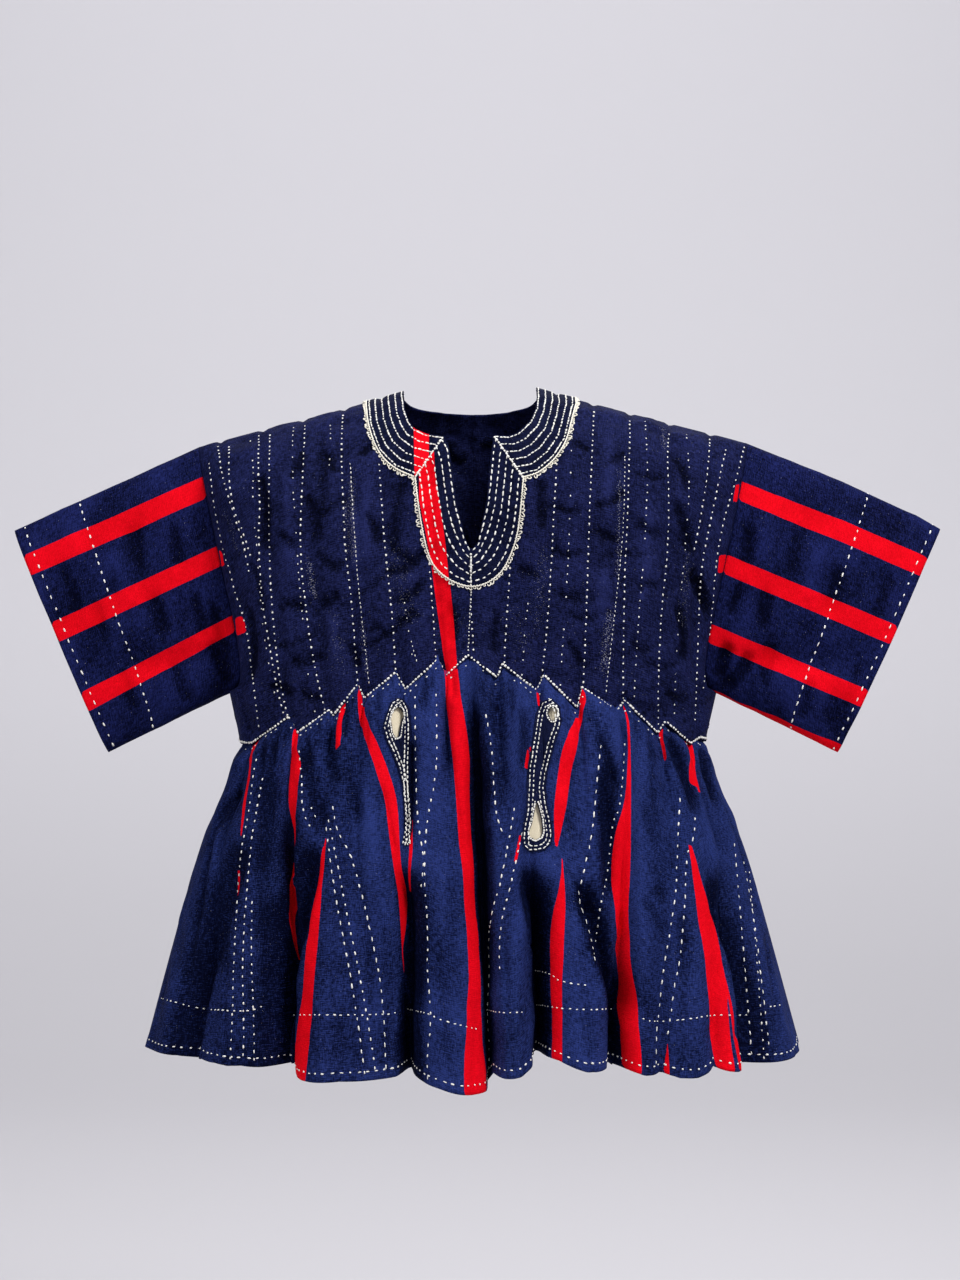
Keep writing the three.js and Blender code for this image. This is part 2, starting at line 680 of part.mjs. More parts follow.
// Pocket facings and linings, made from the skirt's points near them moved out or in
const { skirt, skirtNormals } = panels[FRONT];
const NEARBY = 30; // how much wider than a facing the strip of points is that it is made from
const POCKET_REACH = 0.66; // share of the skirt's length that it is made from
for (const { name, outline, slits } of pockets) {
  const lows = outline.map((r) => r.left);
  const highs = outline.map((r) => r.right);
  const near = (x) => x > Math.min(...lows) - NEARBY && x < Math.max(...highs) + NEARBY;
  const first = skirt[0].findIndex((p) => near(p.x));
  const count = skirt[0].filter((p) => near(p.x)).length;
  const rows = SKIRT_ROWS.filter((down) => down <= POCKET_REACH).length;
  const cut = (grid) => grid.slice(0, rows).map((line) => line.slice(first, first + count));
  const patch = cut(skirt);
  const patchNormals = cut(skirtNormals);
  const laid = toSolid(wall(patch, patchNormals, LAID_ON + FACING_WALL, LAID_ON));
  const under = toSolid(wall(patch, patchNormals, -WALL - LAID_ON, -WALL - LAID_ON - LINING_WALL));
  let facing = laid.intersect(prism(sideOutline(outline), FRONT));
  for (const slit of slits) facing = facing.subtract(prism(sideOutline(slit), FRONT));
  add("pocket_facing_" + name, toGeometry(facing), colours.band);
  const edges = slits.flat();
  const left = Math.min(...edges.map((r) => r.left)) - LINING_MARGIN;
  const right = Math.max(...edges.map((r) => r.right)) + LINING_MARGIN;
  const top = Math.max(...edges.map((r) => r.z)) + LINING_MARGIN;
  const bottom = Math.min(...edges.map((r) => r.z)) - LINING_MARGIN;
  const behind = [
    [left, bottom],
    [right, bottom],
    [right, top],
    [left, top],
  ];
  add("pocket_lining_" + name, toGeometry(under.intersect(prism(behind, FRONT))), colours.lining);
}

export default smock;
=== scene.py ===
"""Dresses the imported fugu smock: woven strips, red stripes, creases, hand stitching and trim.

Lengths are millimetres unless a name says otherwise, and MM turns them into metres.
Tables whose name starts with PX hold points of the 960 x 1280 photograph as (x, y); they are laid
on the cloth by a ray from the camera. Surfaces are grids of points: rows run down, columns across.
"""

import math

import bpy
import numpy as np
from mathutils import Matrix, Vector
from mathutils.bvhtree import BVHTree


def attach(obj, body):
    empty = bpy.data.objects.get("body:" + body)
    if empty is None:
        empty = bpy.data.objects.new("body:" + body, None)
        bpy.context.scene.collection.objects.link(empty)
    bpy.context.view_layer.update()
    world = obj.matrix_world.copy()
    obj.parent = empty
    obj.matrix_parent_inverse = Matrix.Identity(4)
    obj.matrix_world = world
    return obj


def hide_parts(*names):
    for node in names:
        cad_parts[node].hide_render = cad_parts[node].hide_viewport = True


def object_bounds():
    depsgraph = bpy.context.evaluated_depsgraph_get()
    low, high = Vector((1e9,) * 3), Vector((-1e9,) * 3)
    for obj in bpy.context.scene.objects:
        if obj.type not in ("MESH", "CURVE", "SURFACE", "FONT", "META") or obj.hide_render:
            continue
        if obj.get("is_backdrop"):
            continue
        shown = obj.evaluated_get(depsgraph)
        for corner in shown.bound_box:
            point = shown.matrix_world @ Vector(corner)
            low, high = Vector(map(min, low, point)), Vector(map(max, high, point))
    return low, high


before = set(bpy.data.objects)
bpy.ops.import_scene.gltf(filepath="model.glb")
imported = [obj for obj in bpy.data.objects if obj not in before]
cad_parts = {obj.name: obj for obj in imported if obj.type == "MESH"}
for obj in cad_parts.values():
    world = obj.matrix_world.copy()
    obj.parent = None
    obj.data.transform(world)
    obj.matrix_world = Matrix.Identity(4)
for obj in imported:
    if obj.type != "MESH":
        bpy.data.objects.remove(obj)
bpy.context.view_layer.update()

MM = 0.001
FRONT, BACK = -1, 1
SIDES = {FRONT: "front", BACK: "back"}
rng = np.random.default_rng(7)

# ---- camera of the photograph ----
CAMERA = (7.6, -3000.0, -266.0)
FAR = -CAMERA[1]  # from the camera to y = 0
PX_CENTRE = (480, 640)
MM_PER_PX = 1.087  # at y = 0
SENSOR = 36.0
PX_LONG_SIDE = 1280

# ---- the garment's dimensions, as in the solids ----
RIDGE_CENTRE_Z, RIDGE_SLOPE = 21.7, 0.263
SHOULDER_X = 297
WAIST_HALF, WAIST_POWER = 252, 2.5
WAIST_DEPTH = {FRONT: 118, BACK: 106}
WAIST_CENTRE_Z, WAIST_SIDE_DROP, WAIST_RISE_POWER = -292, 84, 1.25
ROUND_CENTRE = {FRONT: 165, BACK: 112}
ROUND_TIP, ROUND_POWER = 55, 1.5
NARROWING = 1.8
UNDERARM_RISE = 54
ARM_HALF_DEPTH, ARM_INSET = 42, 30
ARM_FADE, INSET_FADE, INSET_RISE = 1.5, 0.8, 0.7
LENS_POWER = 2.6
STRIP_PUFF, PUFF_POWER, PUFF_RISE, CHANNEL_HALF = 2.5, 0.7, 0.4, 2
STRIP_STEPS, SEAM_STEPS = 12, 3  # columns in a strip, and in the step between two
THINNEST = 0.15  # where front and back meet
ROW_POWER = 1.7
CUFF_TOP_Z, CUFF_BOTTOM_Z = -147, -388
CUFF_HALF_DEPTH, CUFF_POWER = 24, 2.2
HEM_HALF, HEM_POWER = 354, 2.15
HEM_DEPTH = {FRONT: 198, BACK: 186}
FLARE_POWER, FANNING, SEAM_POWER = 0.8, 0.9, 4
GATHER, GATHER_RISE, GATHER_END = 11, 0.06, 0.5
CREST_SHARP, PUFF_SHARP, CREST_DROP, OPEN_EARLY = 0.7, 0.8, 7, 1.15
NECK_X = -3

# Seams between woven strips: place on the shoulder ridge, and the ends of the step in the teeth.
STRIP_KEYS = ("ridge", "left_x", "left_z", "right_x", "right_z")
STRIP_ROWS = [
    (-297, -252, -376, -252, -376),
    (-273, -237, -379, -237, -379),
    (-227, -194, -349, -186, -366),
    (-184, -151, -341, -146, -348),
    (-139, -120, -314, -114, -331),
    (-99, -80, -302, -71, -319),
    (-49, -36, -288, -28, -306),
    (-3, -4, -284, -4, -284),
    (39, 25, -307, 32, -294),
    (90, 67, -321, 74, -305),
    (130, 109, -339, 115, -317),
    (170, 151, -343, 159, -332),
    (213, 195, -366, 203, -354),
    (257, 232, -378, 240, -372),
    (297, 252, -376, 252, -376),
]
# Valleys of the skirt's folds: start at the waist, end at the hem, hem height, depth, the share of
# the length at which they open, and the lean of the crest to their right.
FOLD_KEYS = ("waist_x", "hem_x", "hem_z", "deep", "opens", "lean")
FOLD_ROWS = {
    FRONT: [
        (-252, -354, -706, 0, 0.2, 0),
        (-237, -297, -693, 16, 0.1, 4),
        (-186, -199, -708, 56, 0.0, -6),
        (-71, -71, -707, 46, 0.36, 7),
        (-4, 17, -713, 54, 0.04, 1),
        (50, 71, -700, 58, 0.4, 1),
        (151, 151, -703, 50, 0.2, 3),
        (177, 198, -714, 14, 0.35, 0),
        (218, 256, -712, 12, 0.4, 0),
        (232, 290, -718, 34, 0.1, 4),
        (252, 354, -714, 0, 0.2, 0),
    ],
    BACK: [
        (-252, -354, -706, 0, 0.2, 0),
        (-232, -282, -706, 30, 0.1, 2),
        (-151, -190, -716, 40, 0.15, 2),
        (-109, -118, -708, 26, 0.3, -4),
        (-25, -36, -718, 44, 0.1, 2),
        (28, 44, -712, 34, 0.3, 0),
        (114, 124, -720, 36, 0.05, 2),
        (186, 205, -708, 36, 0.25, 4),
        (237, 286, -716, 28, 0.15, -4),
        (252, 354, -714, 0, 0.2, 0),
    ],
}
SLEEVES = {
    "left": {"hand": -1, "top_x": -498, "bottom_x": -396},
    "right": {"hand": 1, "top_x": 507, "bottom_x": 396},
}
# Folds of the sleeves: place at the seam and at the cuff, width, depth
SLEEVE_FOLDS = [(0.86, 0.62, 0.07, 7), (0.12, 0.34, 0.08, 4)]
# Back neckline and back edge of the collar: half widths about NECK_X at heights
BACK_HOLE = [(73, -2), (66, -8), (50, -12), (25, -14.5), (0, -15)]
BACK_BAND = [(113, -12), (108, -30), (94, -48), (70, -60), (40, -66), (14, -68), (0, -68)]


# ---- small helpers ----
NOISE_CELLS = 64  # the noise repeats after this many lumps


def mix(a, b, t):
    return a + (b - a) * t


def clamp01(t):
    return np.clip(t, 0, 1)


def smooth(t):
    t = clamp01(t)
    return t * t * (3 - 2 * t)


def lens(t, power):
    return np.maximum(0, 1 - np.abs(2 * t - 1) ** power) ** (1 / power)


def unit(v):
    return v / np.maximum(np.linalg.norm(v, axis=-1, keepdims=True), 1e-9)


def columns_of(rows, keys):
    return {k: np.array([r[i] for r in rows], float) for i, k in enumerate(keys)}


def value_noise(u, v, size, seed):
    """Smooth noise from -1 to 1 over two coordinates, with lumps of about that size."""
    table = np.random.default_rng(seed).uniform(-1, 1, (NOISE_CELLS, NOISE_CELLS))
    gu, gv = u / size, v / size
    iu, iv = np.floor(gu).astype(int), np.floor(gv).astype(int)
    fu, fv = smooth(gu - iu), smooth(gv - iv)
    pick = lambda a, b: table[(iu + a) % NOISE_CELLS, (iv + b) % NOISE_CELLS]
    return mix(mix(pick(0, 0), pick(1, 0), fu), mix(pick(0, 1), pick(1, 1), fu), fv)


def found(rc):
    """Rows and columns without the points that missed the grid."""
    return rc[~np.isnan(rc[:, 0])]


def grid_path(rows, columns):
    """A path over a grid, where either may be one number."""
    return np.stack(np.broadcast_arrays(rows, columns), 1)


def share_along(p, low, high):
    """Share of the way from low to high at which each point lies nearest to it."""
    way = high - low
    return clamp01((p - low) @ way / max(way @ way, 1e-9))


def to_px(points):
    """Where points stand in the photograph."""
    scale = MM_PER_PX * (FAR + points[..., 1]) / FAR
    x = PX_CENTRE[0] + (points[..., 0] - CAMERA[0]) / scale
    return np.stack([x, PX_CENTRE[1] - (points[..., 2] - CAMERA[2]) / scale], -1)


def along_path(points):
    """Distance from the start to each point of a path."""
    steps = np.linalg.norm(np.diff(points, axis=0), axis=1)
    return np.concatenate([[0], np.cumsum(steps)])


def resample(points, step):
    """The path again, with points about step apart."""
    points = np.asarray(points, float)
    along = along_path(points)
    count = max(2, int(math.ceil(along[-1] / step)) + 1)
    at = np.linspace(0, along[-1], count)
    return np.stack([np.interp(at, along, points[:, k]) for k in range(points.shape[1])], 1)


def rounded(points, passes=2):
    """The path with its corners cut, its ends kept."""
    points = np.asarray(points, float)
    for _ in range(passes):
        a, b = points[:-1], points[1:]
        cut = np.stack([mix(a, b, 0.25), mix(a, b, 0.75)], 1).reshape(-1, points.shape[1])
        points = np.concatenate([points[:1], cut[1:-1], points[-1:]])
    return points


# ---- superellipse sections ----
def angle_at(share, power):
    return np.sign(share) * np.arcsin(clamp01(np.abs(share)) ** (power / 2))


def across(angle, power):
    return np.sign(angle) * np.abs(np.sin(angle)) ** (2 / power)


def depth_share(angle, power):
    return np.abs(np.cos(angle)) ** (2 / power)


def waist_angle(x):
    return angle_at(x / WAIST_HALF, WAIST_POWER)


# ---- bodice ----
def strips_of(side):
    """Columns of the strips' table from left to right, which the back holds in mirror image."""
    rows = STRIP_ROWS
    if side == BACK:
        rows = [(-r[0], -r[3], r[4], -r[1], r[2]) for r in rows[::-1]]
    return columns_of(rows, STRIP_KEYS)


def bodice_columns(side):
    """Columns from side to side: place on the ridge and at the waist, puff, and strip count."""
    s = strips_of(side)
    last = len(s["ridge"]) - 1
    out = []
    for i in range(last + 1):
        stepped = s["left_x"][i] != s["right_x"][i]
        channel = CHANNEL_HALF if stepped else 0
        if stepped:
            for k in range(SEAM_STEPS):
                t = k / SEAM_STEPS
                x = mix(s["left_x"][i], s["right_x"][i], t)
                z = mix(s["left_z"][i], s["right_z"][i], t)
                out.append((s["ridge"][i] + mix(-channel, channel, t), x, z, 0, i))
        if i == last:
            break
        next_channel = CHANNEL_HALF if s["left_x"][i + 1] != s["right_x"][i + 1] else 0
        start = (s["ridge"][i] + channel, s["right_x"][i], s["right_z"][i])
        end = (s["ridge"][i + 1] - next_channel, s["left_x"][i + 1], s["left_z"][i + 1])
        for k in range(STRIP_STEPS):
            t = k / STRIP_STEPS
            angle = mix(waist_angle(start[1]), waist_angle(end[1]), t)
            x = start[1] if k == 0 else WAIST_HALF * float(across(angle, WAIST_POWER))
            ridge, z = mix(start[0], end[0], t), mix(start[2], end[2], t)
            out.append((ridge, x, z, math.sin(math.pi * t), i + t))
    out.append((s["ridge"][last], s["right_x"][last], s["right_z"][last], 0, last))
    return columns_of(out, ("ridge", "x", "z", "puff", "strip"))


def bodice_points(side, columns, rows):
    """Points of the bodice. A row runs from 0 on the ridge to 1 at the underarm and 2 at the waist."""
    ridge, x, low, puff = (columns[k][None, :] for k in ("ridge", "x", "z", "puff"))
    row = np.asarray(rows, float)[:, None]
    share = x / WAIST_HALF
    fullness = np.where(np.abs(share) >= 1, 0, depth_share(waist_angle(x), WAIST_POWER))
    top = RIDGE_CENTRE_Z - RIDGE_SLOPE * np.abs(ridge)
    knee = WAIST_CENTRE_Z - WAIST_SIDE_DROP * np.abs(share) ** WAIST_RISE_POWER + UNDERARM_RISE
    down = np.minimum(row, 1) ** ROW_POWER
    z = np.where(row <= 1, mix(top, knee, down), mix(knee, low, row - 1))
    tip = (np.abs(ridge) / SHOULDER_X) ** ROUND_POWER
    turn = np.arccos(1 - np.minimum(1, (top - z) / mix(ROUND_CENTRE[side], ROUND_TIP, tip)))
    opening = lens(down, LENS_POWER)
    depth = (
        WAIST_DEPTH[side] * fullness * np.sin(turn)
        + ARM_HALF_DEPTH * opening * (1 - fullness) ** ARM_FADE
        + STRIP_PUFF * puff**PUFF_POWER * fullness * smooth(down / PUFF_RISE)
    )
    reach = mix(ridge, x, ((top - z) / (top - low)) ** NARROWING)
    inset = ARM_INSET * opening * (1 - fullness) ** INSET_FADE * down**INSET_RISE
    return np.stack([reach - np.sign(share) * inset, side * np.maximum(depth, THINNEST), z], -1)


# ---- skirt ----
def gather_share(side, x):
    """Share of the way across its gather, from one low point of the teeth to the next."""
    s = strips_of(side)
    lows = np.where(s["left_z"] < s["right_z"], s["left_x"], s["right_x"])
    k = np.clip(np.searchsorted(lows, x, side="left"), 1, len(lows) - 1)
    return clamp01((x - lows[k - 1]) / (lows[k] - lows[k - 1]))


def skirt_columns(side, edge, step):
    """Columns of the skirt: the points of the bodice's edge with more between them."""
    f = columns_of(FOLD_ROWS[side], FOLD_KEYS)
    starts, ends = waist_angle(f["waist_x"]), angle_at(f["hem_x"] / HEM_HALF, HEM_POWER)
    hem_angle = np.interp(waist_angle(edge[:, 0]), starts, ends)
    hem_x = HEM_HALF * across(hem_angle, HEM_POWER)
    hem_y = HEM_DEPTH[side] * depth_share(hem_angle, HEM_POWER)
    hem = np.stack([hem_x, hem_y], 1)
    points = [edge[:1]]
    for i in range(len(edge) - 1):
        steps = max(1, int(math.ceil(np.linalg.norm(hem[i + 1] - hem[i]) / step)))
        t = (np.arange(steps)[:, None] + 1) / steps
        points.append(mix(edge[i], edge[i + 1], t))
    point = np.concatenate(points)
    angle = waist_angle(point[:, 0])
    k = np.clip(np.searchsorted(starts, angle, side="right"), 1, len(starts) - 1)
    return {
        "point": point,
        "angle": angle,
        "hem_angle": np.interp(angle, starts, ends),
        "k": k,
        "u": clamp01((angle - starts[k - 1]) / (starts[k] - starts[k - 1])),
        "gather": gather_share(side, point[:, 0]),
        "folds": f,
    }


def skirt_points(side, c, downs):
    """Points of the skirt, from 0 at the waist seam to 1 at the hem."""
    down = np.asarray(downs, float)[:, None]
    flare = down**FLARE_POWER
    power = mix(WAIST_POWER, HEM_POWER, down)
    half, full = mix(WAIST_HALF, HEM_HALF, flare), mix(WAIST_DEPTH[side], HEM_DEPTH[side], flare)
    angle = mix(c["angle"], c["hem_angle"], down**FANNING)
    x, y = half * across(angle, power), full * depth_share(angle, power)
    nx = np.sign(x) * (np.abs(x) / half) ** (power - 1) / half
    ny = (y / full) ** (power - 1) / full
    size = np.maximum(np.hypot(nx, ny), 1e-9)
    nx, ny = nx / size, ny / size
    f, k, u = c["folds"], c["k"], c["u"]
    crest = np.sin(np.pi * u) ** CREST_SHARP
    open_a, open_b = (
        smooth(OPEN_EARLY * (down - f["opens"][i]) / (1 - f["opens"][i])) for i in (k - 1, k)
    )
    sunk = -(1 - crest) * mix(f["deep"][k - 1] * open_a, f["deep"][k] * open_b, u)
    lean = f["lean"][k - 1] * crest * np.minimum(open_a, open_b)
    puff = GATHER * np.sin(np.pi * c["gather"]) ** PUFF_SHARP
    away = sunk + puff * smooth(down / GATHER_RISE) * (1 - smooth(down / GATHER_END))
    hem_z = mix(f["hem_z"][k - 1], f["hem_z"][k], u) - CREST_DROP * crest
    y = side * np.maximum(y + away * ny - lean * nx, THINNEST)
    top_z = c["point"][:, 2]
    point = np.stack([x + away * nx + lean * ny, y, mix(top_z, hem_z, down)], -1)
    start_x = WAIST_HALF * across(c["angle"], WAIST_POWER)
    start_y = side * WAIST_DEPTH[side] * depth_share(c["angle"], WAIST_POWER)
    start = np.stack([start_x, start_y, top_z], -1)
    return point + (c["point"] - start) * ((1 - down) ** SEAM_POWER)[..., None]


# ---- sleeves ----
def sleeve_points(sleeve, downs, shares):
    """Rings from the armhole to the cuff. Columns run down the front and up the back."""
    hand = sleeve["hand"]
    front = np.asarray(downs, float)
    ring = [(FRONT, front), (BACK, front[::-1][1:-1])]
    s = np.asarray(shares, float)[:, None]
    parts = []
    for side, down in ring:
        columns = bodice_columns(side)
        edge = {k: v[[0 if hand < 0 else -1]] for k, v in columns.items()}
        seam = bodice_points(side, edge, down ** (1 / ROW_POWER))[:, 0]
        seam[(down <= 0) | (down >= 1), 1] = 0
        cuff_x, cuff_z = mix(sleeve["top_x"], sleeve["bottom_x"], down), mix(CUFF_TOP_Z, CUFF_BOTTOM_Z, down)
        cuff = np.stack([cuff_x, side * CUFF_HALF_DEPTH * lens(down, CUFF_POWER), cuff_z], -1)
        points = mix(seam[None], cuff[None], s[..., None])
        for seam_at, cuff_at, width, deep in SLEEVE_FOLDS:
            off = (down[None] - mix(seam_at, cuff_at, s)) / width
            inside = (down[None] > 0) & (down[None] < 1)
            points[..., 1] -= side * deep * np.exp(-off * off) * np.sin(np.pi * s) * inside
        parts.append(points)
    return np.concatenate(parts, 1)


# ---- surfaces ----
CREASE_FADE = 0.22  # share of a crease's length over which it fades in
EDGE_ROWS = 3  # a crease that ends this close to the last row runs over the edge
RED_REACH = 20.0  # the field of the stripes is kept within this distance of an edge


class Surface:
    """A grid of points with outward normals, that rays can hit and paths can follow."""

    def __init__(self, points, outward, ring=False):
        self.ring, self.sign = ring, outward
        self.set(points)
        width = np.linalg.norm(np.diff(self.points, axis=1, append=self.points[:, :1]), axis=2)
        self.u = np.concatenate([np.zeros((len(points), 1)), np.cumsum(width, 1)[:, :-1]], 1)
        downs = np.linalg.norm(np.diff(self.points, axis=0), axis=2)
        self.v = np.concatenate([np.zeros((1, points.shape[1])), np.cumsum(downs, 0)])
        self.red = np.full(points.shape[:2], -RED_REACH)
        self.worn = np.zeros(points.shape[:2])
        # Painted shading: colour darker in troughs and lighter on ridges, and on the skirt also its tone by
        # place
        self.painted_shading_and_tone = np.zeros(points.shape[:2])
        self.warp = np.repeat(self.u.mean(0, keepdims=True), len(points), 0)
        self.weft = self.v

    def set(self, points):
        self.points = points
        self.rows, self.columns = points.shape[:2]
        if self.ring:
            along = np.roll(points, -1, 1) - np.roll(points, 1, 1)
        else:
            along = np.gradient(points, axis=1)
        self.normals = unit(np.cross(np.gradient(points, axis=0), along)) * self.sign
        self.tree = None

    def push(self, away):
        self.set(self.points + away[..., None] * self.normals)

    def quads(self):
        n = self.columns
        r, c = np.meshgrid(np.arange(self.rows - 1), np.arange(n if self.ring else n - 1), indexing="ij")
        d = (c + 1) % n
        quads = np.stack([r * n + c, (r + 1) * n + c, (r + 1) * n + d, r * n + d], -1)
        return quads.reshape(-1, 4)

    def hit(self, start, direction):
        """Point and face where a ray meets the grid, nan and -1 where it misses."""
        if self.tree is None:
            points = [tuple(p) for p in self.points.reshape(-1, 3)]
            self.tree = BVHTree.FromPolygons(points, self.quads().tolist())
        point, _, index, _ = self.tree.ray_cast(Vector(start), Vector(direction).normalized())
        return (math.nan, -1) if point is None else (np.array(point), index)

    def cast(self, px):
        """Row and column where the ray through each photograph point meets the grid, nan if none."""
        wide = self.columns if self.ring else self.columns - 1
        hits = []
        for x, y in np.asarray(px, float).reshape(-1, 2):
            ray = ((x - PX_CENTRE[0]) * MM_PER_PX, FAR, -(y - PX_CENTRE[1]) * MM_PER_PX)
            p, index = self.hit(CAMERA, ray)
            if index < 0:
                hits.append((math.nan, math.nan))
                continue
            r, c = divmod(index, wide)
            d = (c + 1) % self.columns
            a, b = self.points[r, c], self.points[r, d]
            e, f = self.points[r + 1, c], self.points[r + 1, d]
            s = t = 0.5
            for _ in range(3):
                t = float(share_along(p, mix(a, e, s), mix(b, f, s)))
                s = float(share_along(p, mix(a, b, t), mix(e, f, t)))
            hits.append((r + s, c + t))
        return np.array(hits)

    def inside(self, outline):
        """How far inside an outline in x and z each point lies, negative outside."""
        return outline_field(self.points[..., 0], self.points[..., 2], outline)

    def at(self, rc, field=None):
        """The grid's points, or another field of it, at rows and columns between its own."""
        field = self.points if field is None else field
        r = np.clip(rc[:, 0], 0, self.rows - 1.000001)
        c = rc[:, 1] % self.columns if self.ring else np.clip(rc[:, 1], 0, self.columns - 1.000001)
        i, j = r.astype(int), c.astype(int)
        s, t = r - i, c - j
        if field.ndim == 3:
            s, t = s[:, None], t[:, None]
        d = (j + 1) % self.columns
        return mix(mix(field[i, j], field[i, d], t), mix(field[i + 1, j], field[i + 1, d], t), s)

    def on_cloth(self, px, step=4.0, straight=False):
        """A photograph path as rows and columns, with the points that miss the grid left out."""
        return found(self.cast(resample(px if straight else rounded(px, 1), step)))

    def crease(self, rc, depth, left, right):
        """How far a trough, or with a negative depth a ridge, along a path moves each point.

        left and right are its half widths, seen from outside with the path running down. It fades
        out at both ends, but not at the edge of the cloth.
        """
        rc = found(np.asarray(rc, float))
        if len(rc) < 2:
            return np.zeros(self.points.shape[:2])
        path, out = self.at(rc), unit(self.at(rc, self.normals).mean(0))
        along = along_path(path)
        flat = self.points.reshape(-1, 3)
        reach = along[-1] + 4 * max(left, right)
        near = np.linalg.norm(flat - path.mean(0), axis=1) < reach
        p = flat[near]
        best, share, hand = np.full(len(p), 1e9), np.zeros(len(p)), np.zeros(len(p))
        for i in range(len(path) - 1):
            d = path[i + 1] - path[i]
            t = share_along(p, path[i], path[i + 1])
            off = p - path[i] - t[:, None] * d
            gap = np.linalg.norm(off, axis=1)
            better = gap < best
            best[better] = gap[better]
            share[better] = ((along[i] + t * np.linalg.norm(d)) / along[-1])[better]
            hand[better] = (np.cross(d, off) @ out)[better]
        width = np.where(hand > 0, right, left)
        fade = smooth(share / CREASE_FADE)
        if rc[-1, 0] < self.rows - 1 - EDGE_ROWS:
            fade = fade * smooth((1 - share) / CREASE_FADE)
        away = np.zeros(len(flat))
        away[near] = -depth * np.exp(-((best / width) ** 2)) * fade
        return away.reshape(self.rows, self.columns)


def add_stripe(surface, left, right, top=None, bottom=None):
    """Marks a stripe between two edges, each rows and columns from top to bottom."""
    left, right = (e[np.argsort(e[:, 0])] for e in (left, right))
    row, grid = np.arange(surface.rows, dtype=float), np.arange(surface.columns, dtype=float)
    top = max(left[0, 0], right[0, 0]) if top is None else top
    bottom = min(left[-1, 0], right[-1, 0]) if bottom is None else bottom
    low_u, high_u = (
        np.array([[np.interp(c, grid, u)] for c, u in zip(np.interp(row, *edge.T), surface.u)])
        for edge in (left, right)
    )
    v_top, v_end = (surface.at(grid_path(r, grid), surface.v) for r in (top, bottom))
    inside = np.minimum(surface.u - low_u, high_u - surface.u)
    inside = np.minimum(inside, np.minimum(surface.v - v_top, v_end - surface.v))
    surface.red = np.maximum(surface.red, np.clip(inside, -RED_REACH, RED_REACH))


# ---- outlines in the picture plane of the garment, x and z ----
def outline_field(x, z, outline):
    """Distance to a closed outline, positive inside."""
    outline = np.asarray(outline, float)
    best = np.full(x.shape, 1e9)
    inside = np.zeros(x.shape, bool)
    for (ax, az), (bx, bz) in zip(outline, np.roll(outline, -1, 0)):
        dx, dz = bx - ax, bz - az
        t = clamp01(((x - ax) * dx + (z - az) * dz) / max(dx * dx + dz * dz, 1e-9))
        best = np.minimum(best, np.hypot(x - ax - t * dx, z - az - t * dz))
        crosses = (az > z) != (bz > z)
        inside ^= crosses & (x < (bx - ax) * (z - az) / (bz - az if bz != az else 1e-9) + ax)
    return np.where(inside, best, -best)


def clip(points, faces, field, attributes):
    """Keeps the part of a mesh where field is positive, cutting the faces that it crosses."""
    inside = field > 0
    count = inside[faces].sum(1)
    kept = faces[count == faces.shape[1]].tolist()
    points, attributes = [points], {k: [v] for k, v in attributes.items()}
    base, extra, made = len(field), [], {}
    blank = {k: [] for k in attributes}
    for face in faces[(count > 0) & (count < faces.shape[1])]:
        loop = []
        for a, b in zip(face, np.roll(face, -1)):
            if inside[a]:
                loop.append(int(a))
            if inside[a] != inside[b]:
                key = (min(a, b), max(a, b))
                if key not in made:
                    t = field[key[0]] / (field[key[0]] - field[key[1]])
                    made[key] = base + len(extra)
                    extra.append(mix(points[0][key[0]], points[0][key[1]], t))
                    for k in blank:
                        v = attributes[k][0]
                        blank[k].append(mix(v[key[0]], v[key[1]], t))
                loop.append(made[key])
        kept.append(loop)
    if extra:
        points.append(np.array(extra))
        for k in blank:
            attributes[k].append(np.array(blank[k]))
    return np.concatenate(points), kept, {k: np.concatenate(v) for k, v in attributes.items()}


def new_mesh(name, points, faces, material, attributes=None):
    """A Blender object from points in millimetres, without the points that no face uses."""
    used = np.unique(np.concatenate([np.asarray(f) for f in faces]) if isinstance(faces, list) else faces)
    place = np.full(len(points), -1)
    place[used] = np.arange(len(used))
    faces = [place[np.asarray(f)].tolist() for f in faces]
    mesh = bpy.data.meshes.new(name)
    mesh.from_pydata((points[used] * MM).tolist(), [], faces)
    for key, values in (attributes or {}).items():
        layer = mesh.attributes.new(key, "FLOAT", "POINT")
        layer.data.foreach_set("value", values[used].astype(np.float32))
    mesh.polygons.foreach_set("use_smooth", [True] * len(faces))
    mesh.update()
    made = bpy.data.objects.new(name, mesh)
    bpy.context.scene.collection.objects.link(made)
    mesh.materials.append(material)
    return made


def thicken(made, wall):
    """A wall that goes inward from the surface."""
    solid = made.modifiers.new("wall", "SOLIDIFY")
    solid.thickness = wall * MM
    solid.offset = -1.0
    solid.use_even_offset = False
    return made


# ---- the grids ----
BODICE_DOWN_ROWS, BODICE_WAIST_ROWS = 92, 16
SKIRT_ROW_COUNT = 108
SKIRT_STEP = 2.85
SLEEVE_ROUND, SLEEVE_ALONG = 78, 64
bodice_rows = np.concatenate(
    [np.linspace(0, 1, BODICE_DOWN_ROWS), np.linspace(1, 2, BODICE_WAIST_ROWS)[1:]]
)
skirt_downs = np.linspace(0, 1, SKIRT_ROW_COUNT)
sleeve_downs = (1 - np.cos(np.linspace(0, np.pi, SLEEVE_ROUND))) / 2
sleeve_shares = np.linspace(0, 1, SLEEVE_ALONG)

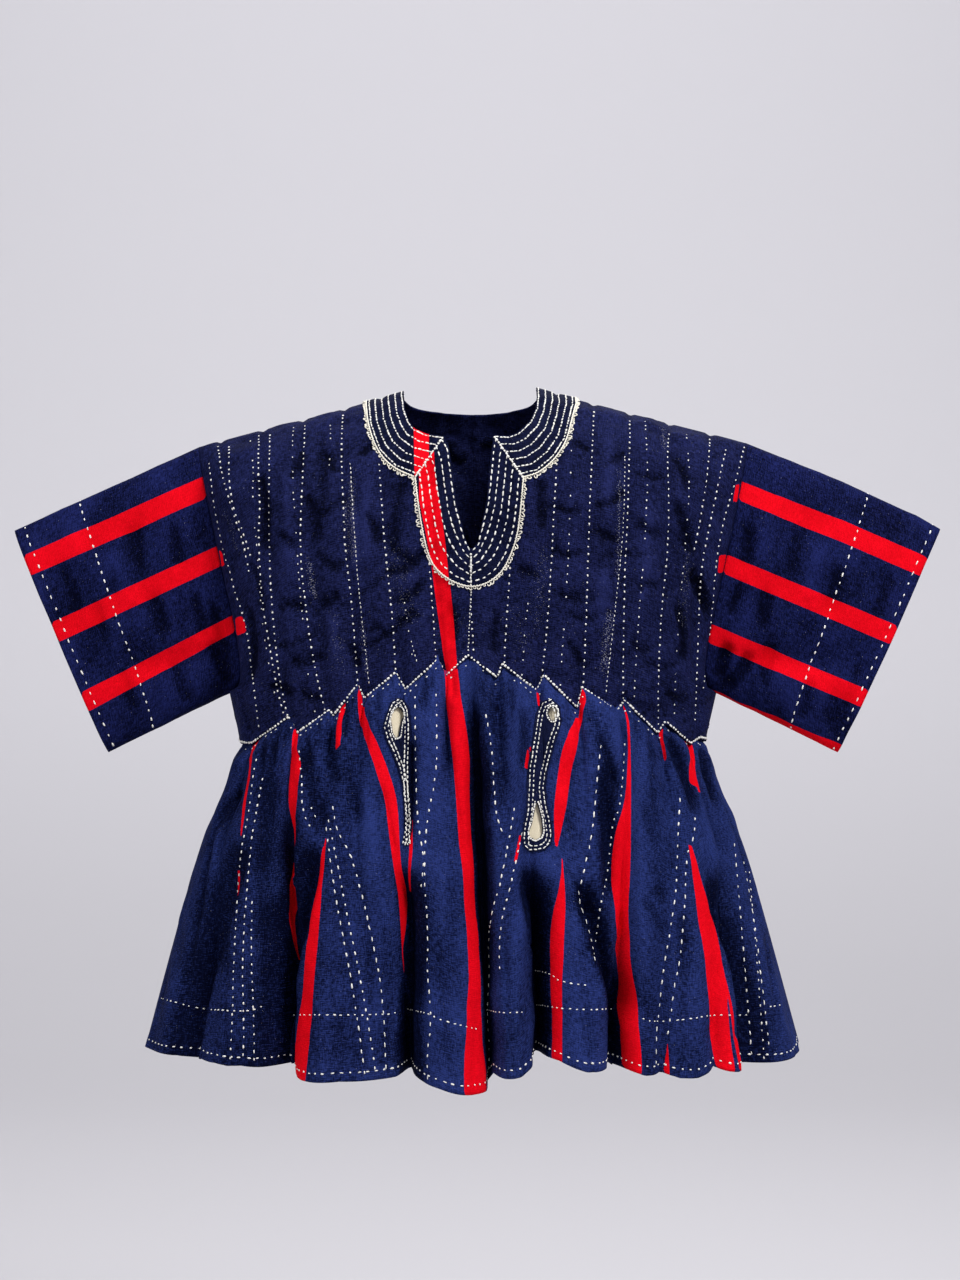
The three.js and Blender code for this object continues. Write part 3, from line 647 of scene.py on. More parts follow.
# Small ways in which the worn cloth leaves the solids: the shoulder line on one side lies higher,
# the skirt is drawn in below the waist, and its hem hangs unevenly.
RIDGE_LIFT = [(0, 0), (50, 2.5), (297, 4), (400, 7.5), (480, 5), (507, 1.5)]  # place, height
LIFT_FADE = 70
DRAWN_IN, DRAWN_AT, DRAWN_OVER, DRAWN_FROM = 0.036, 0.12, 0.13, 0.55
PX_HEM_DROP = [
    (147, -5), (195, 11), (215, 2), (240, -3), (262, -2), (295, -2), (298, 7), (300, 6), (339, 2),
    (395, 5), (403, 3), (440, 6), (470, 12), (487, 14), (492, -4), (505, -2), (523, -2), (545, -9),
    (560, -9), (587, -2), (611, 1), (619, -2), (651, -4), (699, -2), (739, -7), (755, -9), (795, -11),
]  # fmt: skip


def lifted(points, below):
    """Raises the points near the shoulder line by the lift at their place."""
    x, lift = np.array(RIDGE_LIFT, float).T
    out = points.copy()
    out[..., 2] += np.interp(points[..., 0], x, lift) * np.exp(-((below / LIFT_FADE) ** 2))
    return out


def hung(points):
    """Draws the skirt in below the waist and moves its hem."""
    down = skirt_downs[:, None]
    out = points.copy()
    sideways = np.abs(points[..., 0])
    at_side = smooth((sideways / sideways.max(1, keepdims=True) - DRAWN_FROM) / (1 - DRAWN_FROM))
    out[..., 0] *= 1 - DRAWN_IN * at_side * np.exp(-(((down - DRAWN_AT) / DRAWN_OVER) ** 2))
    if points[-1, :, 1].mean() < 0:  # the front
        drop = np.interp(to_px(points[-1])[:, 0], *np.array(PX_HEM_DROP, float).T)
        out[..., 2] -= drop * MM_PER_PX * down**3
    return out


body_columns = {side: bodice_columns(side) for side in SIDES}
bodice = {}
for side in SIDES:
    grid = bodice_points(side, body_columns[side], bodice_rows)
    bodice[side] = Surface(lifted(grid, grid[:1, :, 2] - grid[..., 2]), -side)
skirt_cols = {side: skirt_columns(side, bodice[side].points[-1], SKIRT_STEP) for side in SIDES}
skirt = {side: Surface(hung(skirt_points(side, skirt_cols[side], skirt_downs)), -side) for side in SIDES}
sleeve = {}
for name, s in SLEEVES.items():
    grid = sleeve_points(s, sleeve_downs, sleeve_shares)
    sleeve[name] = Surface(lifted(grid, grid[:, :1, 2] - grid[..., 2]), -s["hand"], ring=True)


def index_at(value, values):
    """Place of a value in rising values, counted with fractions."""
    return np.interp(value, values, np.arange(len(values)))


def strip_column(side, strip):
    """Grid column of a place counted in strips from the left."""
    return index_at(strip, body_columns[side]["strip"])


def sleeve_column(ring):
    """Grid column of a sleeve at a share of the way round: 0 to 1 down the front, to 2 up the back."""
    down = np.where(ring <= 1, ring, 2 - ring)
    at = np.arccos(1 - 2 * clamp01(down)) / np.pi * (SLEEVE_ROUND - 1)
    return np.where(ring <= 1, at, 2 * (SLEEVE_ROUND - 1) - at)


# ---- red stripes ----
# Rows are a height in the photograph and the stripe's left and right edge there.
PX_SKIRT_STRIPES = [
    [(744, 250, 252), (760, 251.5, 255.5), (790, 246.8, 250), (820, 242, 244.6), (838, 240.6, 241.2)],
    [(871, 231.5, 233), (885, 229.5, 231.5), (906, 227, 227.6)],
    [(1020, 195.5, 196), (1051, 192.5, 194.5)],
    [(730, 291, 294.5), (747, 291.5, 299), (760, 291, 300), (790, 290, 298), (820, 290, 294.5),
     (842, 289.5, 292), (862, 288, 291.5), (904, 285.5, 291.5), (940, 283.6, 289.5), (958, 284.2, 286.6),
     (968, 284.8, 285.2)],
    [(725, 335, 338), (736, 337, 343), (752, 334, 338)],
    [(836, 326, 326.5), (856, 320, 324), (910, 311, 320), (955, 305, 316), (1000, 301, 312),
     (1045, 297, 308), (1080, 295, 306)],
    [(698, 358, 360), (712, 358, 365), (727, 360, 370), (760, 373, 385), (799, 385, 397), (850, 391, 400),
     (895, 398, 404), (940, 401, 404), (978, 401.6, 402)],
    [(820, 409, 411), (844, 410, 414), (895, 406, 408)],
    [(665, 441.5, 457), (715, 448.6, 463), (745, 452, 469), (775, 454, 469.4), (820, 457.6, 470),
     (850, 460, 471.5), (880, 463, 473), (910, 466, 475.5), (940, 467.5, 478), (970, 469, 478.5),
     (1000, 467, 479), (1040, 466, 482), (1092, 464, 486)],
    [(694, 536.5, 539.5), (707, 536.5, 539.5)],
    [(745, 528.5, 531.5), (769, 524.5, 527.5)],
    [(835, 519.5, 522), (863, 513.5, 516.5)],
    [(700, 585, 587), (718, 575, 582.5), (742, 563, 577), (787, 556, 569.5), (817, 553, 564.5),
     (847, 556.5, 557.5)],
    [(856, 560, 562), (880, 561.5, 564), (898, 557, 566), (925, 552.5, 565), (955, 551, 563.5),
     (1000, 553, 562), (1060, 553, 563)],
    [(722, 628, 630), (766, 628, 631), (802, 625, 631), (826, 617, 631), (874, 613, 630), (916, 615, 628),
     (940, 616, 629.5), (971, 618, 631), (1003, 620.3, 636.5), (1066, 626.3, 643)],
    [(725, 662, 665), (739, 657, 661), (760, 666, 669)],
    [(742, 690, 695), (754, 687, 692), (793, 694, 700)],
    [(845, 689, 691), (889, 693.5, 704), (922, 699, 715), (955, 704, 721), (1015, 710, 728),
     (1075, 716, 734.5)],
    [(922, 712.5, 713), (994, 726.5, 728.8), (1072, 739.5, 742)],
    [(1042, 667, 667.6), (1080, 662, 670)],
]  # fmt: skip
HEM_FROM_PX, SEAM_TO_PX = 1040, 745  # a stripe that ends past these runs to the hem or the seam
PX_BODICE_STRIPE = [(500, 424, 441), (562, 431, 448), (620, 438.5, 453.5), (664, 444.5, 457)]
# Share of the height of armhole and cuff at which a stripe's two edges meet them.
SLEEVE_STRIPES = {
    "left": [(0.128, 0.215, 0.117, 0.205), (0.41, 0.49, 0.417, 0.503), (0.69, 0.755, 0.73, 0.814),
             (1.035, 1.105, 1.035, 1.12), (1.34, 1.42, 1.335, 1.42), (1.65, 1.73, 1.645, 1.73)],
    "right": [(0.158, 0.23, 0.138, 0.219), (0.445, 0.52, 0.434, 0.514), (0.725, 0.8, 0.719, 0.794),
              (0.985, 1.05, 0.965, 1.03), (1.27, 1.34, 1.265, 1.34), (1.58, 1.66, 1.58, 1.66),
              (1.925, 1.985, 1.93, 1.985)],
}  # fmt: skip
# Red stripes of the skirt's back: place at the hem and width there.
BACK_STRIPES = [
    (-298, 15), (-222, 20), (-150, 19), (-62, 20), (22, 17), (104, 20), (176, 19), (262, 18), (322, 10),
]  # fmt: skip
BACK_BODICE_STRIPE = (4.55, 4.94)  # counted in strips
# Short ends of the sleeves' stripes that run on over the front of the bodice
PX_ARMHOLE_RED = [
    [(206, 555), (219.5, 549), (225, 565), (206, 575)],
    [(228, 620.5), (241, 616), (245.5, 632), (230, 639)],
    [(736.2, 484.7), (744, 482), (741, 500.5), (732.8, 503)],
    [(718.6, 555), (729, 554.5), (725, 572.5), (716, 573)],
]
EDGE_STEP, EDGE_CALM = 3.0, 3.5  # step along a stripe's edge in the picture, and steps smoothed over
MEDIAN_HALF = 3  # points to each side of the middle one


def calm(rc):
    """An edge with its jumps between folds smoothed: columns against rows."""
    rc = found(rc)
    rc = rc[np.argsort(rc[:, 0])]
    if len(rc) < 5:
        return rc
    column = rc[:, 1].copy()
    for i in range(MEDIAN_HALF, len(rc) - MEDIAN_HALF):
        column[i] = np.median(rc[i - MEDIAN_HALF : i + MEDIAN_HALF + 1, 1])
    order = np.arange(len(rc))
    weight = np.exp(-0.5 * ((order[:, None] - order[None]) / EDGE_CALM) ** 2)
    line = np.polyval(np.polyfit(order, column, 1), order)
    return np.stack([rc[:, 0], weight @ (column - line) / weight.sum(1) + line], 1)


for rows in PX_SKIRT_STRIPES:
    paths = [resample([(r[k], r[0]) for r in rows], EDGE_STEP) for k in (1, 2)]
    edges = [calm(skirt[FRONT].cast(path)) for path in paths]
    if min(len(e) for e in edges) < 2:
        continue
    top = 0 if rows[0][0] < SEAM_TO_PX else None
    bottom = SKIRT_ROW_COUNT - 1 if rows[-1][0] > HEM_FROM_PX else None
    add_stripe(skirt[FRONT], *edges, top=top, bottom=bottom)
edges = [found(bodice[FRONT].cast([(r[k], r[0]) for r in PX_BODICE_STRIPE])) for k in (1, 2)]
last_row = len(bodice_rows) - 1
add_stripe(bodice[FRONT], *edges, bottom=last_row)
back_hem_x, back_hem_u = skirt[BACK].points[-1, :, 0], skirt[BACK].u[-1]
for x, width in BACK_STRIPES:
    middle = np.interp(x, back_hem_x, back_hem_u)
    sides = [index_at(middle + k * width / 2, back_hem_u) for k in (-1, 1)]
    add_stripe(skirt[BACK], *[np.array([(0, c), (SKIRT_ROW_COUNT - 1, c)]) for c in sides])
sides = [strip_column(BACK, s) for s in BACK_BODICE_STRIPE]
add_stripe(bodice[BACK], *[np.array([(0, c), (last_row, c)]) for c in sides])
for px in PX_ARMHOLE_RED:
    s = bodice[FRONT]
    outline = s.at(found(s.cast(resample(px + px[:1], 2))))[:, [0, 2]]
    field = outline_field(s.points[..., 0], s.points[..., 2], outline)
    s.red = np.maximum(s.red, np.clip(field, -RED_REACH, RED_REACH))
for name, rows in SLEEVE_STRIPES.items():
    for seam_low, seam_high, cuff_low, cuff_high in rows:
        ends = ((seam_low, cuff_low), (seam_high, cuff_high))
        edges = [np.array([(0, sleeve_column(a)), (SLEEVE_ALONG - 1, sleeve_column(b))]) for a, b in ends]
        add_stripe(sleeve[name], *edges, top=-1, bottom=SLEEVE_ALONG)

# ---- creases ----
# Troughs, and ridges where the depth is negative, on the front of the skirt: depth, half widths to
# the left and the right in millimetres, then the path. The deepest are where one fold goes under
# the next, so that one of their sides is steep.
PX_SKIRT_CREASES = [
    (15, 24, 6, [(250, 838), (240, 870), (228, 905), (215, 960), (203, 1010), (190, 1058)]),
    (3, 4, 4, [(224, 792), (210, 850), (199, 904), (187, 970), (176, 1043)]),
    (6, 6, 8, [(250, 786), (236, 797), (224, 809), (214, 830)]),
    (4, 9, 9, [(270, 760), (266, 820), (262, 880)]),
    (3.5, 5, 6, [(262, 900), (268, 960), (271, 1020)]),
    (12, 6, 10, [(293, 790), (291, 840), (287, 890), (285, 930), (285, 1000), (279, 1056)]),
    (27, 20, 6, [(318, 842), (309, 884), (302, 921), (294, 974), (284, 1040), (281, 1072)]),
    (7, 5, 12, [(299, 750), (305, 780), (312, 806), (322, 838)]),
    (5, 8, 8, [(328, 722), (331, 760), (334, 800)]),
    (2.6, 3, 3, [(334, 880), (340, 920), (347, 960), (354, 1000), (363, 1072)]),
    (3, 5, 5, [(343, 1000), (340, 1030), (336, 1068)]),
    (-3, 10, 8, [(352, 760), (366, 800), (372, 850), (372, 900)]),
    (4, 7, 7, [(345, 748), (354, 790), (360, 830)]),
    (3, 6, 5, [(392, 960), (388, 1010), (386, 1068)]),
    (27, 6, 20, [(402, 862), (405, 898), (409, 932), (408, 988), (405, 1030), (403, 1074)]),
    (9, 5, 5, [(413, 728), (411, 764), (411.5, 797), (408, 845)]),
    (4, 5, 7, [(441, 700), (447, 740), (446, 780)]),
    (3, 5, 5, [(437, 920), (441, 990), (446, 1075)]),
    (2.5, 4, 4, [(451, 860), (455, 930), (458, 1000)]),
    (22, 6, 12, [(470, 690), (474, 720), (475, 775), (476, 820), (477, 850), (479, 880), (481, 910),
                 (483, 940), (484, 970), (485, 1000), (487, 1040), (489, 1075)]),
    (2.6, 3, 3, [(503, 931), (507, 990), (512, 1068)]),
    (4, 6, 5, [(498, 700), (502, 760), (505, 810)]),
    (6, 5, 5, [(524, 706), (526, 744), (523, 780)]),
    (29, 6, 16, [(524, 862), (530, 900), (534, 930), (537, 962), (539, 1008), (539, 1066)]),
    (24, 6, 14, [(576, 872), (586, 904), (601, 947), (611, 1008), (617, 1072)]),
    (12, 8, 8, [(606, 756), (608, 800), (610, 850), (606, 910)]),
    (9, 5, 4, [(602, 730), (606, 748), (613, 770), (619, 795)]),
    (4, 6, 6, [(577, 745), (572, 800), (570, 850)]),
    (8, 4, 10, [(664, 732), (676, 758), (687, 778), (694, 818)]),
    (7, 4, 8, [(700, 745), (708, 775), (716, 808)]),
    (6, 4, 6, [(706, 752), (720, 770), (732, 794)]),
    (16, 6, 22, [(704, 867), (720, 916), (736, 986), (750, 1068)]),
    (3.5, 5, 5, [(644, 805), (652, 835), (656, 855)]),
    (3, 4, 5, [(652, 885), (660, 894), (668, 903)]),
    (3.4, 5, 5, [(641, 901), (655, 915), (669, 936)]),
    (-2.6, 6, 6, [(640, 860), (648, 880), (660, 893)]),
    (4, 7, 7, [(684, 905), (685, 950), (688, 988)]),
    (3, 5, 5, [(650, 960), (646, 1010), (648, 1070)]),
    (3, 6, 6, [(761, 900), (771, 960), (779, 1050)]),
    (2.6, 2.2, 2.2, [(446, 690), (452, 760), (459.6, 834), (468.6, 888), (474.6, 931), (476, 990)]),
    (2.4, 2.4, 2.4, [(478, 990), (475, 1040), (472, 1096)]),
    (2.2, 2.2, 2.2, [(623, 800), (622, 880), (624, 960), (632, 1060)]),
    (2.2, 2.2, 2.2, [(571, 720), (566, 760), (560, 800)]),
    (2.4, 2.4, 2.4, [(379, 780), (390, 820), (395, 860)]),
    (2.6, 2.6, 2.6, [(181, 1000), (176, 1030), (172, 1056)]),
    (2.6, 2.6, 2.6, [(229, 880), (227, 940), (226, 1062)]),
    (2.4, 2.6, 2.6, [(264, 800), (262, 850), (258, 930)]),
    (2.4, 2.6, 2.6, [(356, 850), (366, 920), (372, 1000), (376, 1040)]),
    (2.6, 2.6, 2.6, [(683, 960), (682, 1010), (681, 1074)]),
    (2.6, 2.6, 2.6, [(716, 880), (730, 960), (739, 1068)]),
    (2.4, 2.6, 2.6, [(447, 880), (450, 950), (452, 1082)]),
    (2.4, 2.6, 2.6, [(586, 905), (582, 960), (592, 1072)]),
    (2.4, 2.6, 2.6, [(650, 760), (656, 810), (662, 850)]),
    (2.4, 2.6, 2.6, [(718, 790), (736, 830), (750, 880)]),
]  # fmt: skip
# Short gathers below the waist seam of the front: depth, half width, and the path
PX_GATHERS = [
    (4, 3.5, [(262, 742), (262, 776)]), (5, 4, [(275, 732), (271, 772)]),
    (4, 3.5, [(286, 720), (285, 748)]), (5, 4, [(305, 735), (308, 766)]),
    (4, 3, [(318, 722), (316, 756)]), (6, 4, [(345, 703), (342, 742)]),
    (4, 3, [(352, 694), (350, 722)]), (4, 3.5, [(376, 690), (378, 716)]),
    (5, 4, [(424, 674), (423, 716)]), (4, 3, [(432, 668), (431, 700)]),
    (5, 3.5, [(453, 670), (453, 700)]), (6, 4, [(484, 668), (483, 704)]),
    (5, 4, [(494, 677), (497, 714)]), (4, 3, [(512, 683), (511, 720)]),
    (5, 4, [(570, 702), (566, 736)]), (5, 4, [(592, 698), (588, 732)]),
    (4, 3, [(636, 716), (640, 747)]), (5, 4, [(650, 727), (655, 762)]),
    (4, 3, [(674, 738), (682, 766)]), (5, 4, [(688, 746), (695, 772)]),
]  # fmt: skip
# Creases on the front of the bodice: depth, half width, and the path
PX_BODICE_CREASES = [
    (2.6, 6, [(359, 456), (366, 449), (374, 442)]), (2.2, 7, [(388, 544), (402, 555), (417, 562)]),
    (3.2, 6, [(386, 573), (409, 569), (427, 547)]), (3.0, 6, [(391, 602), (409, 599), (427, 576)]),
    (2.6, 6, [(395, 626), (406, 619), (418, 608)]), (2.4, 7, [(313, 550), (334, 569), (346, 560)]),
    (2.8, 8, [(303, 491), (318, 519), (315, 550)]), (2.4, 6, [(317, 607), (329, 602), (341, 590)]),
    (2.2, 7, [(279, 529), (288, 540), (294, 551)]), (2.6, 7, [(277, 611), (290, 602), (307, 610)]),
    (2.6, 6, [(288, 655), (302, 667), (324, 651)]), (2.2, 6, [(320, 449), (330, 460), (338, 476)]),
    (2.0, 5, [(366, 634), (378, 625), (391, 640)]), (3.0, 8, [(258, 470), (266, 510), (262, 560)]),
    (2.4, 6, [(286, 480), (297, 468), (303, 448)]), (2.2, 6, [(365, 512), (374, 524), (380, 545)]),
    (-1.8, 7, [(352, 505), (356, 540), (354, 580)]), (-1.6, 7, [(330, 610), (336, 640), (332, 668)]),
    (2.4, 6, [(345, 640), (355, 652), (358, 672)]), (3.0, 7, [(246, 600), (254, 640), (249, 686)]),
    (2.6, 6, [(264, 690), (280, 684), (294, 697)]), (2.2, 5, [(300, 690), (310, 700), (322, 694)]),
    (3.6, 7, [(541, 474), (542, 500), (543, 532)]), (2.6, 6, [(573, 441), (581, 445), (591, 449)]),
    (2.8, 6, [(593, 509), (614, 501), (627, 489)]), (2.4, 6, [(593, 529), (608, 537), (622, 540)]),
    (2.2, 6, [(603, 468), (614, 460), (627, 452)]), (2.4, 6, [(514, 567), (527, 571), (541, 578)]),
    (2.2, 6, [(556, 590), (570, 600), (584, 596)]), (2.4, 7, [(636, 520), (650, 534), (664, 530)]),
    (2.2, 6, [(635, 590), (648, 582), (660, 588)]), (2.4, 6, [(566, 640), (577, 652), (584, 668)]),
    (3.0, 8, [(676, 500), (686, 530), (694, 556)]), (6.0, 8, [(692, 566), (702, 590), (711, 618)]),
    (3.4, 7, [(676, 600), (684, 628), (683, 664)]), (2.4, 6, [(630, 640), (642, 652), (655, 646)]),
    (2.4, 6, [(550, 545), (562, 556), (584, 552)]), (-1.8, 7, [(606, 560), (604, 590), (600, 630)]),
    (2.4, 6, [(671, 450), (682, 466), (690, 492)]), (2.2, 6, [(500, 610), (494, 634), (496, 658)]),
    (2.8, 6, [(447, 600), (455, 622), (452, 648)]), (2.6, 6, [(665, 690), (678, 700), (690, 694)]),
    (1.8, 9, [(404, 470), (396, 520), (392, 560)]), (1.6, 9, [(320, 430), (324, 480), (322, 530)]),
    (-1.6, 8, [(366, 470), (364, 520), (368, 570)]), (-1.5, 8, [(286, 460), (288, 520), (290, 580)]),
    (-1.5, 8, [(610, 430), (608, 480), (606, 530)]), (-1.5, 8, [(650, 500), (646, 560), (642, 620)]),
    (1.8, 4, [(350, 600), (370, 588), (392, 570), (418, 560)]),
    (1.8, 4, [(356, 650), (380, 640), (404, 622), (426, 612)]),
    (1.6, 4, [(262, 640), (284, 648), (304, 640), (330, 622)]),
    (1.6, 4, [(310, 520), (330, 510), (348, 494)]), (1.8, 5, [(250, 560), (262, 590), (264, 620)]),
    (1.6, 4, [(560, 610), (584, 620), (604, 612), (622, 616)]),
    (1.6, 4, [(596, 560), (616, 552), (640, 556), (660, 548)]),
    (1.8, 4, [(546, 500), (566, 512), (588, 508)]), (1.6, 4, [(632, 470), (650, 480), (668, 474)]),
    (1.6, 4, [(640, 660), (660, 668), (684, 660)]),
]  # fmt: skip
PX_SLEEVE_CREASES = {
    "left": [
        (5, 8, [(241, 688), (226, 668), (208, 640)]), (3.4, 7, [(236, 660), (222, 636), (212, 600)]),
        (2.6, 7, [(171, 519), (176, 545), (181, 572)]), (2.4, 7, [(150, 590), (160, 618), (166, 640)]),
        (2.2, 7, [(92, 600), (101, 628), (110, 650)]), (2.4, 7, [(130, 520), (136, 550), (143, 580)]),
        (-2.0, 9, [(112, 548), (122, 580), (132, 610)]), (2.6, 6, [(200, 500), (206, 528), (212, 560)]),
        (2.2, 6, [(60, 560), (70, 590), (80, 616)]), (2.4, 7, [(170, 660), (180, 684), (190, 706)]),
        (2.2, 6, [(118, 664), (128, 690), (138, 716)]), (2.4, 6, [(192, 590), (199, 614), (203, 640)]),
    ],
    "right": [
        (7, 7, [(716, 680), (722, 660), (730, 642)]), (5, 7, [(724, 692), (740, 672), (752, 650)]),
        (3.4, 7, [(728, 618), (734, 600), (744, 580)]), (2.8, 7, [(749, 519), (748, 545), (742, 572)]),
        (2.4, 7, [(800, 520), (796, 548), (790, 576)]), (2.4, 7, [(842, 560), (836, 590), (828, 620)]),
        (2.2, 7, [(892, 566), (884, 596), (874, 626)]), (-2.0, 9, [(820, 540), (814, 574), (806, 606)]),
        (2.4, 7, [(772, 640), (768, 664), (760, 690)]), (2.6, 7, [(812, 676), (806, 700), (800, 724)]),
        (2.2, 6, [(860, 660), (854, 686), (846, 712)]), (2.4, 6, [(770, 590), (764, 612), (760, 632)]),
    ],
}  # fmt: skip
# Similar creases where the photograph doesn't reach. Skirt: depth, half widths, place at the hem,
# sway, and the shares of the length between which it runs.
BACK_SKIRT_CREASES = [
    (14, 22, 4, -287, 10, 0.30, 1.0), (3, 4, 4, -318, 4, 0.25, 0.96), (5, 6, 7, -262, -8, 0.05, 0.35),
    (3, 5, 6, -236, 5, 0.45, 0.9), (24, 18, 4, -196, 9, 0.22, 1.0), (6, 5, 10, -212, 6, 0.02, 0.34),
    (2.6, 3, 3, -160, 5, 0.50, 1.0), (4, 7, 6, -146, -6, 0.12, 0.46), (22, 4, 16, -112, -8, 0.28, 1.0),
    (3, 5, 5, -84, 4, 0.55, 1.0), (5, 6, 6, -70, 6, 0.04, 0.38), (24, 16, 4, -40, 7, 0.16, 1.0),
    (-3, 9, 8, -8, 5, 0.20, 0.62), (2.6, 3, 3, 6, -4, 0.55, 1.0), (20, 4, 14, 50, 8, 0.34, 1.0),
    (5, 5, 7, 38, -5, 0.02, 0.30), (3, 5, 5, 84, 6, 0.52, 1.0), (25, 4, 17, 128, -9, 0.20, 1.0),
    (4, 6, 6, 106, 5, 0.06, 0.42), (3.4, 5, 5, 162, -6, 0.40, 0.78), (2.6, 3, 3, 178, 4, 0.58, 1.0),
    (20, 16, 4, 200, 8, 0.26, 1.0), (6, 7, 5, 222, -7, 0.03, 0.36), (3, 5, 5, 246, 5, 0.48, 1.0),
    (15, 4, 20, 290, 9, 0.30, 1.0), (3, 5, 6, 320, -4, 0.30, 0.92),
]  # fmt: skip
# Back of the bodice: depth, half width, and the path as strip and share of the way down
BACK_BODICE_CREASES = [
    (2.6, 6, [(1.2, 0.3), (1.5, 0.4), (1.9, 0.38)]), (3.0, 7, [(2.2, 0.16), (2.5, 0.28), (2.4, 0.4)]),
    (2.4, 6, [(2.1, 0.55), (2.5, 0.62), (2.9, 0.56)]),
    (3.2, 6, [(3.1, 0.36), (3.5, 0.46), (3.9, 0.4)]),
    (2.8, 6, [(3.2, 0.66), (3.5, 0.76), (3.9, 0.72)]), (2.4, 6, [(4.1, 0.3), (4.5, 0.38), (4.8, 0.5)]),
    (2.6, 7, [(4.2, 0.8), (4.6, 0.72), (4.9, 0.62)]), (3.0, 6, [(5.1, 0.48), (5.4, 0.56), (5.9, 0.5)]),
    (2.4, 6, [(5.2, 0.88), (5.6, 0.8), (5.9, 0.86)]), (2.8, 7, [(6.2, 0.34), (6.5, 0.44), (6.8, 0.4)]),
    (3.0, 6, [(6.1, 0.7), (6.5, 0.64), (6.9, 0.72)]), (2.6, 6, [(7.1, 0.4), (7.5, 0.34), (7.9, 0.44)]),
    (3.2, 6, [(7.2, 0.6), (7.6, 0.7), (7.8, 0.82)]), (2.4, 6, [(8.1, 0.5), (8.5, 0.56), (8.9, 0.48)]),
    (-1.8, 7, [(8.4, 0.2), (8.5, 0.32), (8.5, 0.44)]),
    (2.8, 6, [(9.1, 0.72), (9.5, 0.64), (9.9, 0.7)]), (2.6, 7, [(9.2, 0.26), (9.6, 0.36), (9.9, 0.3)]),
    (3.0, 6, [(10.1, 0.46), (10.5, 0.58), (10.8, 0.54)]),
    (2.4, 6, [(11.1, 0.3), (11.4, 0.42), (11.9, 0.36)]),
    (3.0, 7, [(11.2, 0.68), (11.5, 0.78), (11.9, 0.74)]),
    (2.8, 7, [(12.2, 0.22), (12.5, 0.36), (12.6, 0.5)]),
    (3.2, 7, [(12.8, 0.44), (12.5, 0.58), (12.6, 0.72)]),
    (4.5, 8, [(0.7, 0.44), (0.6, 0.58), (0.9, 0.74)]),
    (4.5, 8, [(13.4, 0.4), (13.5, 0.56), (13.1, 0.72)]),
]  # fmt: skip
# Back of the sleeves: depth, half width, and the path as share round and share along
BACK_SLEEVE_CREASES = [
    (5, 8, [(1.02, 0.06), (1.12, 0.14), (1.26, 0.2)]),
    (3.4, 7, [(1.16, 0.04), (1.3, 0.1), (1.48, 0.12)]),
    (2.6, 7, [(1.3, 0.34), (1.44, 0.37), (1.6, 0.36)]),
    (2.4, 7, [(1.6, 0.22), (1.72, 0.25), (1.86, 0.24)]),
    (2.4, 7, [(1.14, 0.52), (1.28, 0.56), (1.42, 0.55)]),
    (-2.0, 9, [(1.4, 0.46), (1.56, 0.49), (1.74, 0.47)]),
    (2.2, 6, [(1.2, 0.8), (1.36, 0.83), (1.5, 0.81)]),
    (2.4, 6, [(1.62, 0.66), (1.76, 0.7), (1.9, 0.68)]),
]  # fmt: skip
BODICE_CREASING, SLEEVE_CREASING = 1.6, 1.4  # how deep the creases are against their tables
# Tone across the front of the skirt: place at the hem, and how much lighter it is or, below 0, darker
PX_SHADES = [
    (150, -0.15), (200, -0.25), (235, -0.4), (278, -0.4), (292, -0.1), (330, 0.05), (395, 0.05),
    (412, 0.3), (460, 0.55), (500, 0.2), (545, 0.3), (600, 0.4), (640, 0.2), (690, 0.1), (740, 0.15),
    (800, 0.3),
]  # fmt: skip
SHADING_SOFTENING = 6  # passes over the grid that soften the skirt's creases before they are painted in as shade
SHADING_DEPTH = 3.5  # a displacement at which the painted shade in a trough, or the painted light on a ridge, is full
SEAM_NOTCH, NOTCH_HALF, NOTCH_FADE = 2.4, 3.0, 22  # dips of the shoulder line at the seams
STRIP_WIDTH = 44  # of a strip as sewn
BODICE_WIDTHS = 0.7  # of the bodice's creases against their tables
PATH_STEP = 0.04  # of a path that is given in strips or shares
JUMP = 2.5  # columns off the path's own line that mark a jump
SEAM_DEEP, SEAM_HALF, PUCKERED_HALF = 1.8, 4, 12  # of the groove in a seam, and of the puckers beside it
LOWER_EDGE_OUT, LOWER_ROWS = 1.2, 3  # the bodice's lower edge lies over the skirt
# Where lumps and creases fade out: strips from the sides and millimetres from the shoulder, then
# millimetres from the sides and from the seam, then millimetres from the armhole and columns from a fold
STRIPS_FADE, SHOULDER_FADE = 0.4, 30
SKIRT_SIDE_FADE, GATHER_FADE, GATHER_LONG, PLEAT_FADE = 20, 8, 60, 0.15
ARMHOLE_FADE, SLEEVE_FOLD_FADE = 25, 5


def bodice_path(side, points):
    """A path of strip and share of the way down as rows and columns."""
    fine = resample(rounded(points, 1), PATH_STEP)
    return np.stack([fine[:, 1] * last_row, strip_column(side, fine[:, 0])], 1)


def sleeve_path(points):
    """A path of share round and share along as rows and columns."""
    fine = resample(rounded(points, 1), PATH_STEP)
    return np.stack([fine[:, 1] * (SLEEVE_ALONG - 1), sleeve_column(fine[:, 0])], 1)


def softened(field, passes):
    """A field whose inner values become the mean of their four neighbours, some times over."""
    out = field.copy()
    for _ in range(passes):
        out[1:-1, 1:-1] = (out[:-2, 1:-1] + out[2:, 1:-1] + out[1:-1, :-2] + out[1:-1, 2:]) / 4
    return out


def steady(rc):
    """A path down the cloth with the jumps between folds left out and its columns smoothed."""
    rc = found(rc)
    good = np.ones(len(rc), bool)
    for _ in range(3):
        if good.sum() < 6:
            return rc
        fit = np.polyfit(rc[good, 0], rc[good, 1], 3)
        good = np.abs(np.polyval(fit, rc[:, 0]) - rc[:, 1]) < JUMP
    rows = np.linspace(rc[:, 0].min(), rc[:, 0].max(), 40)
    return np.stack([rows, np.polyval(fit, rows)], 1)


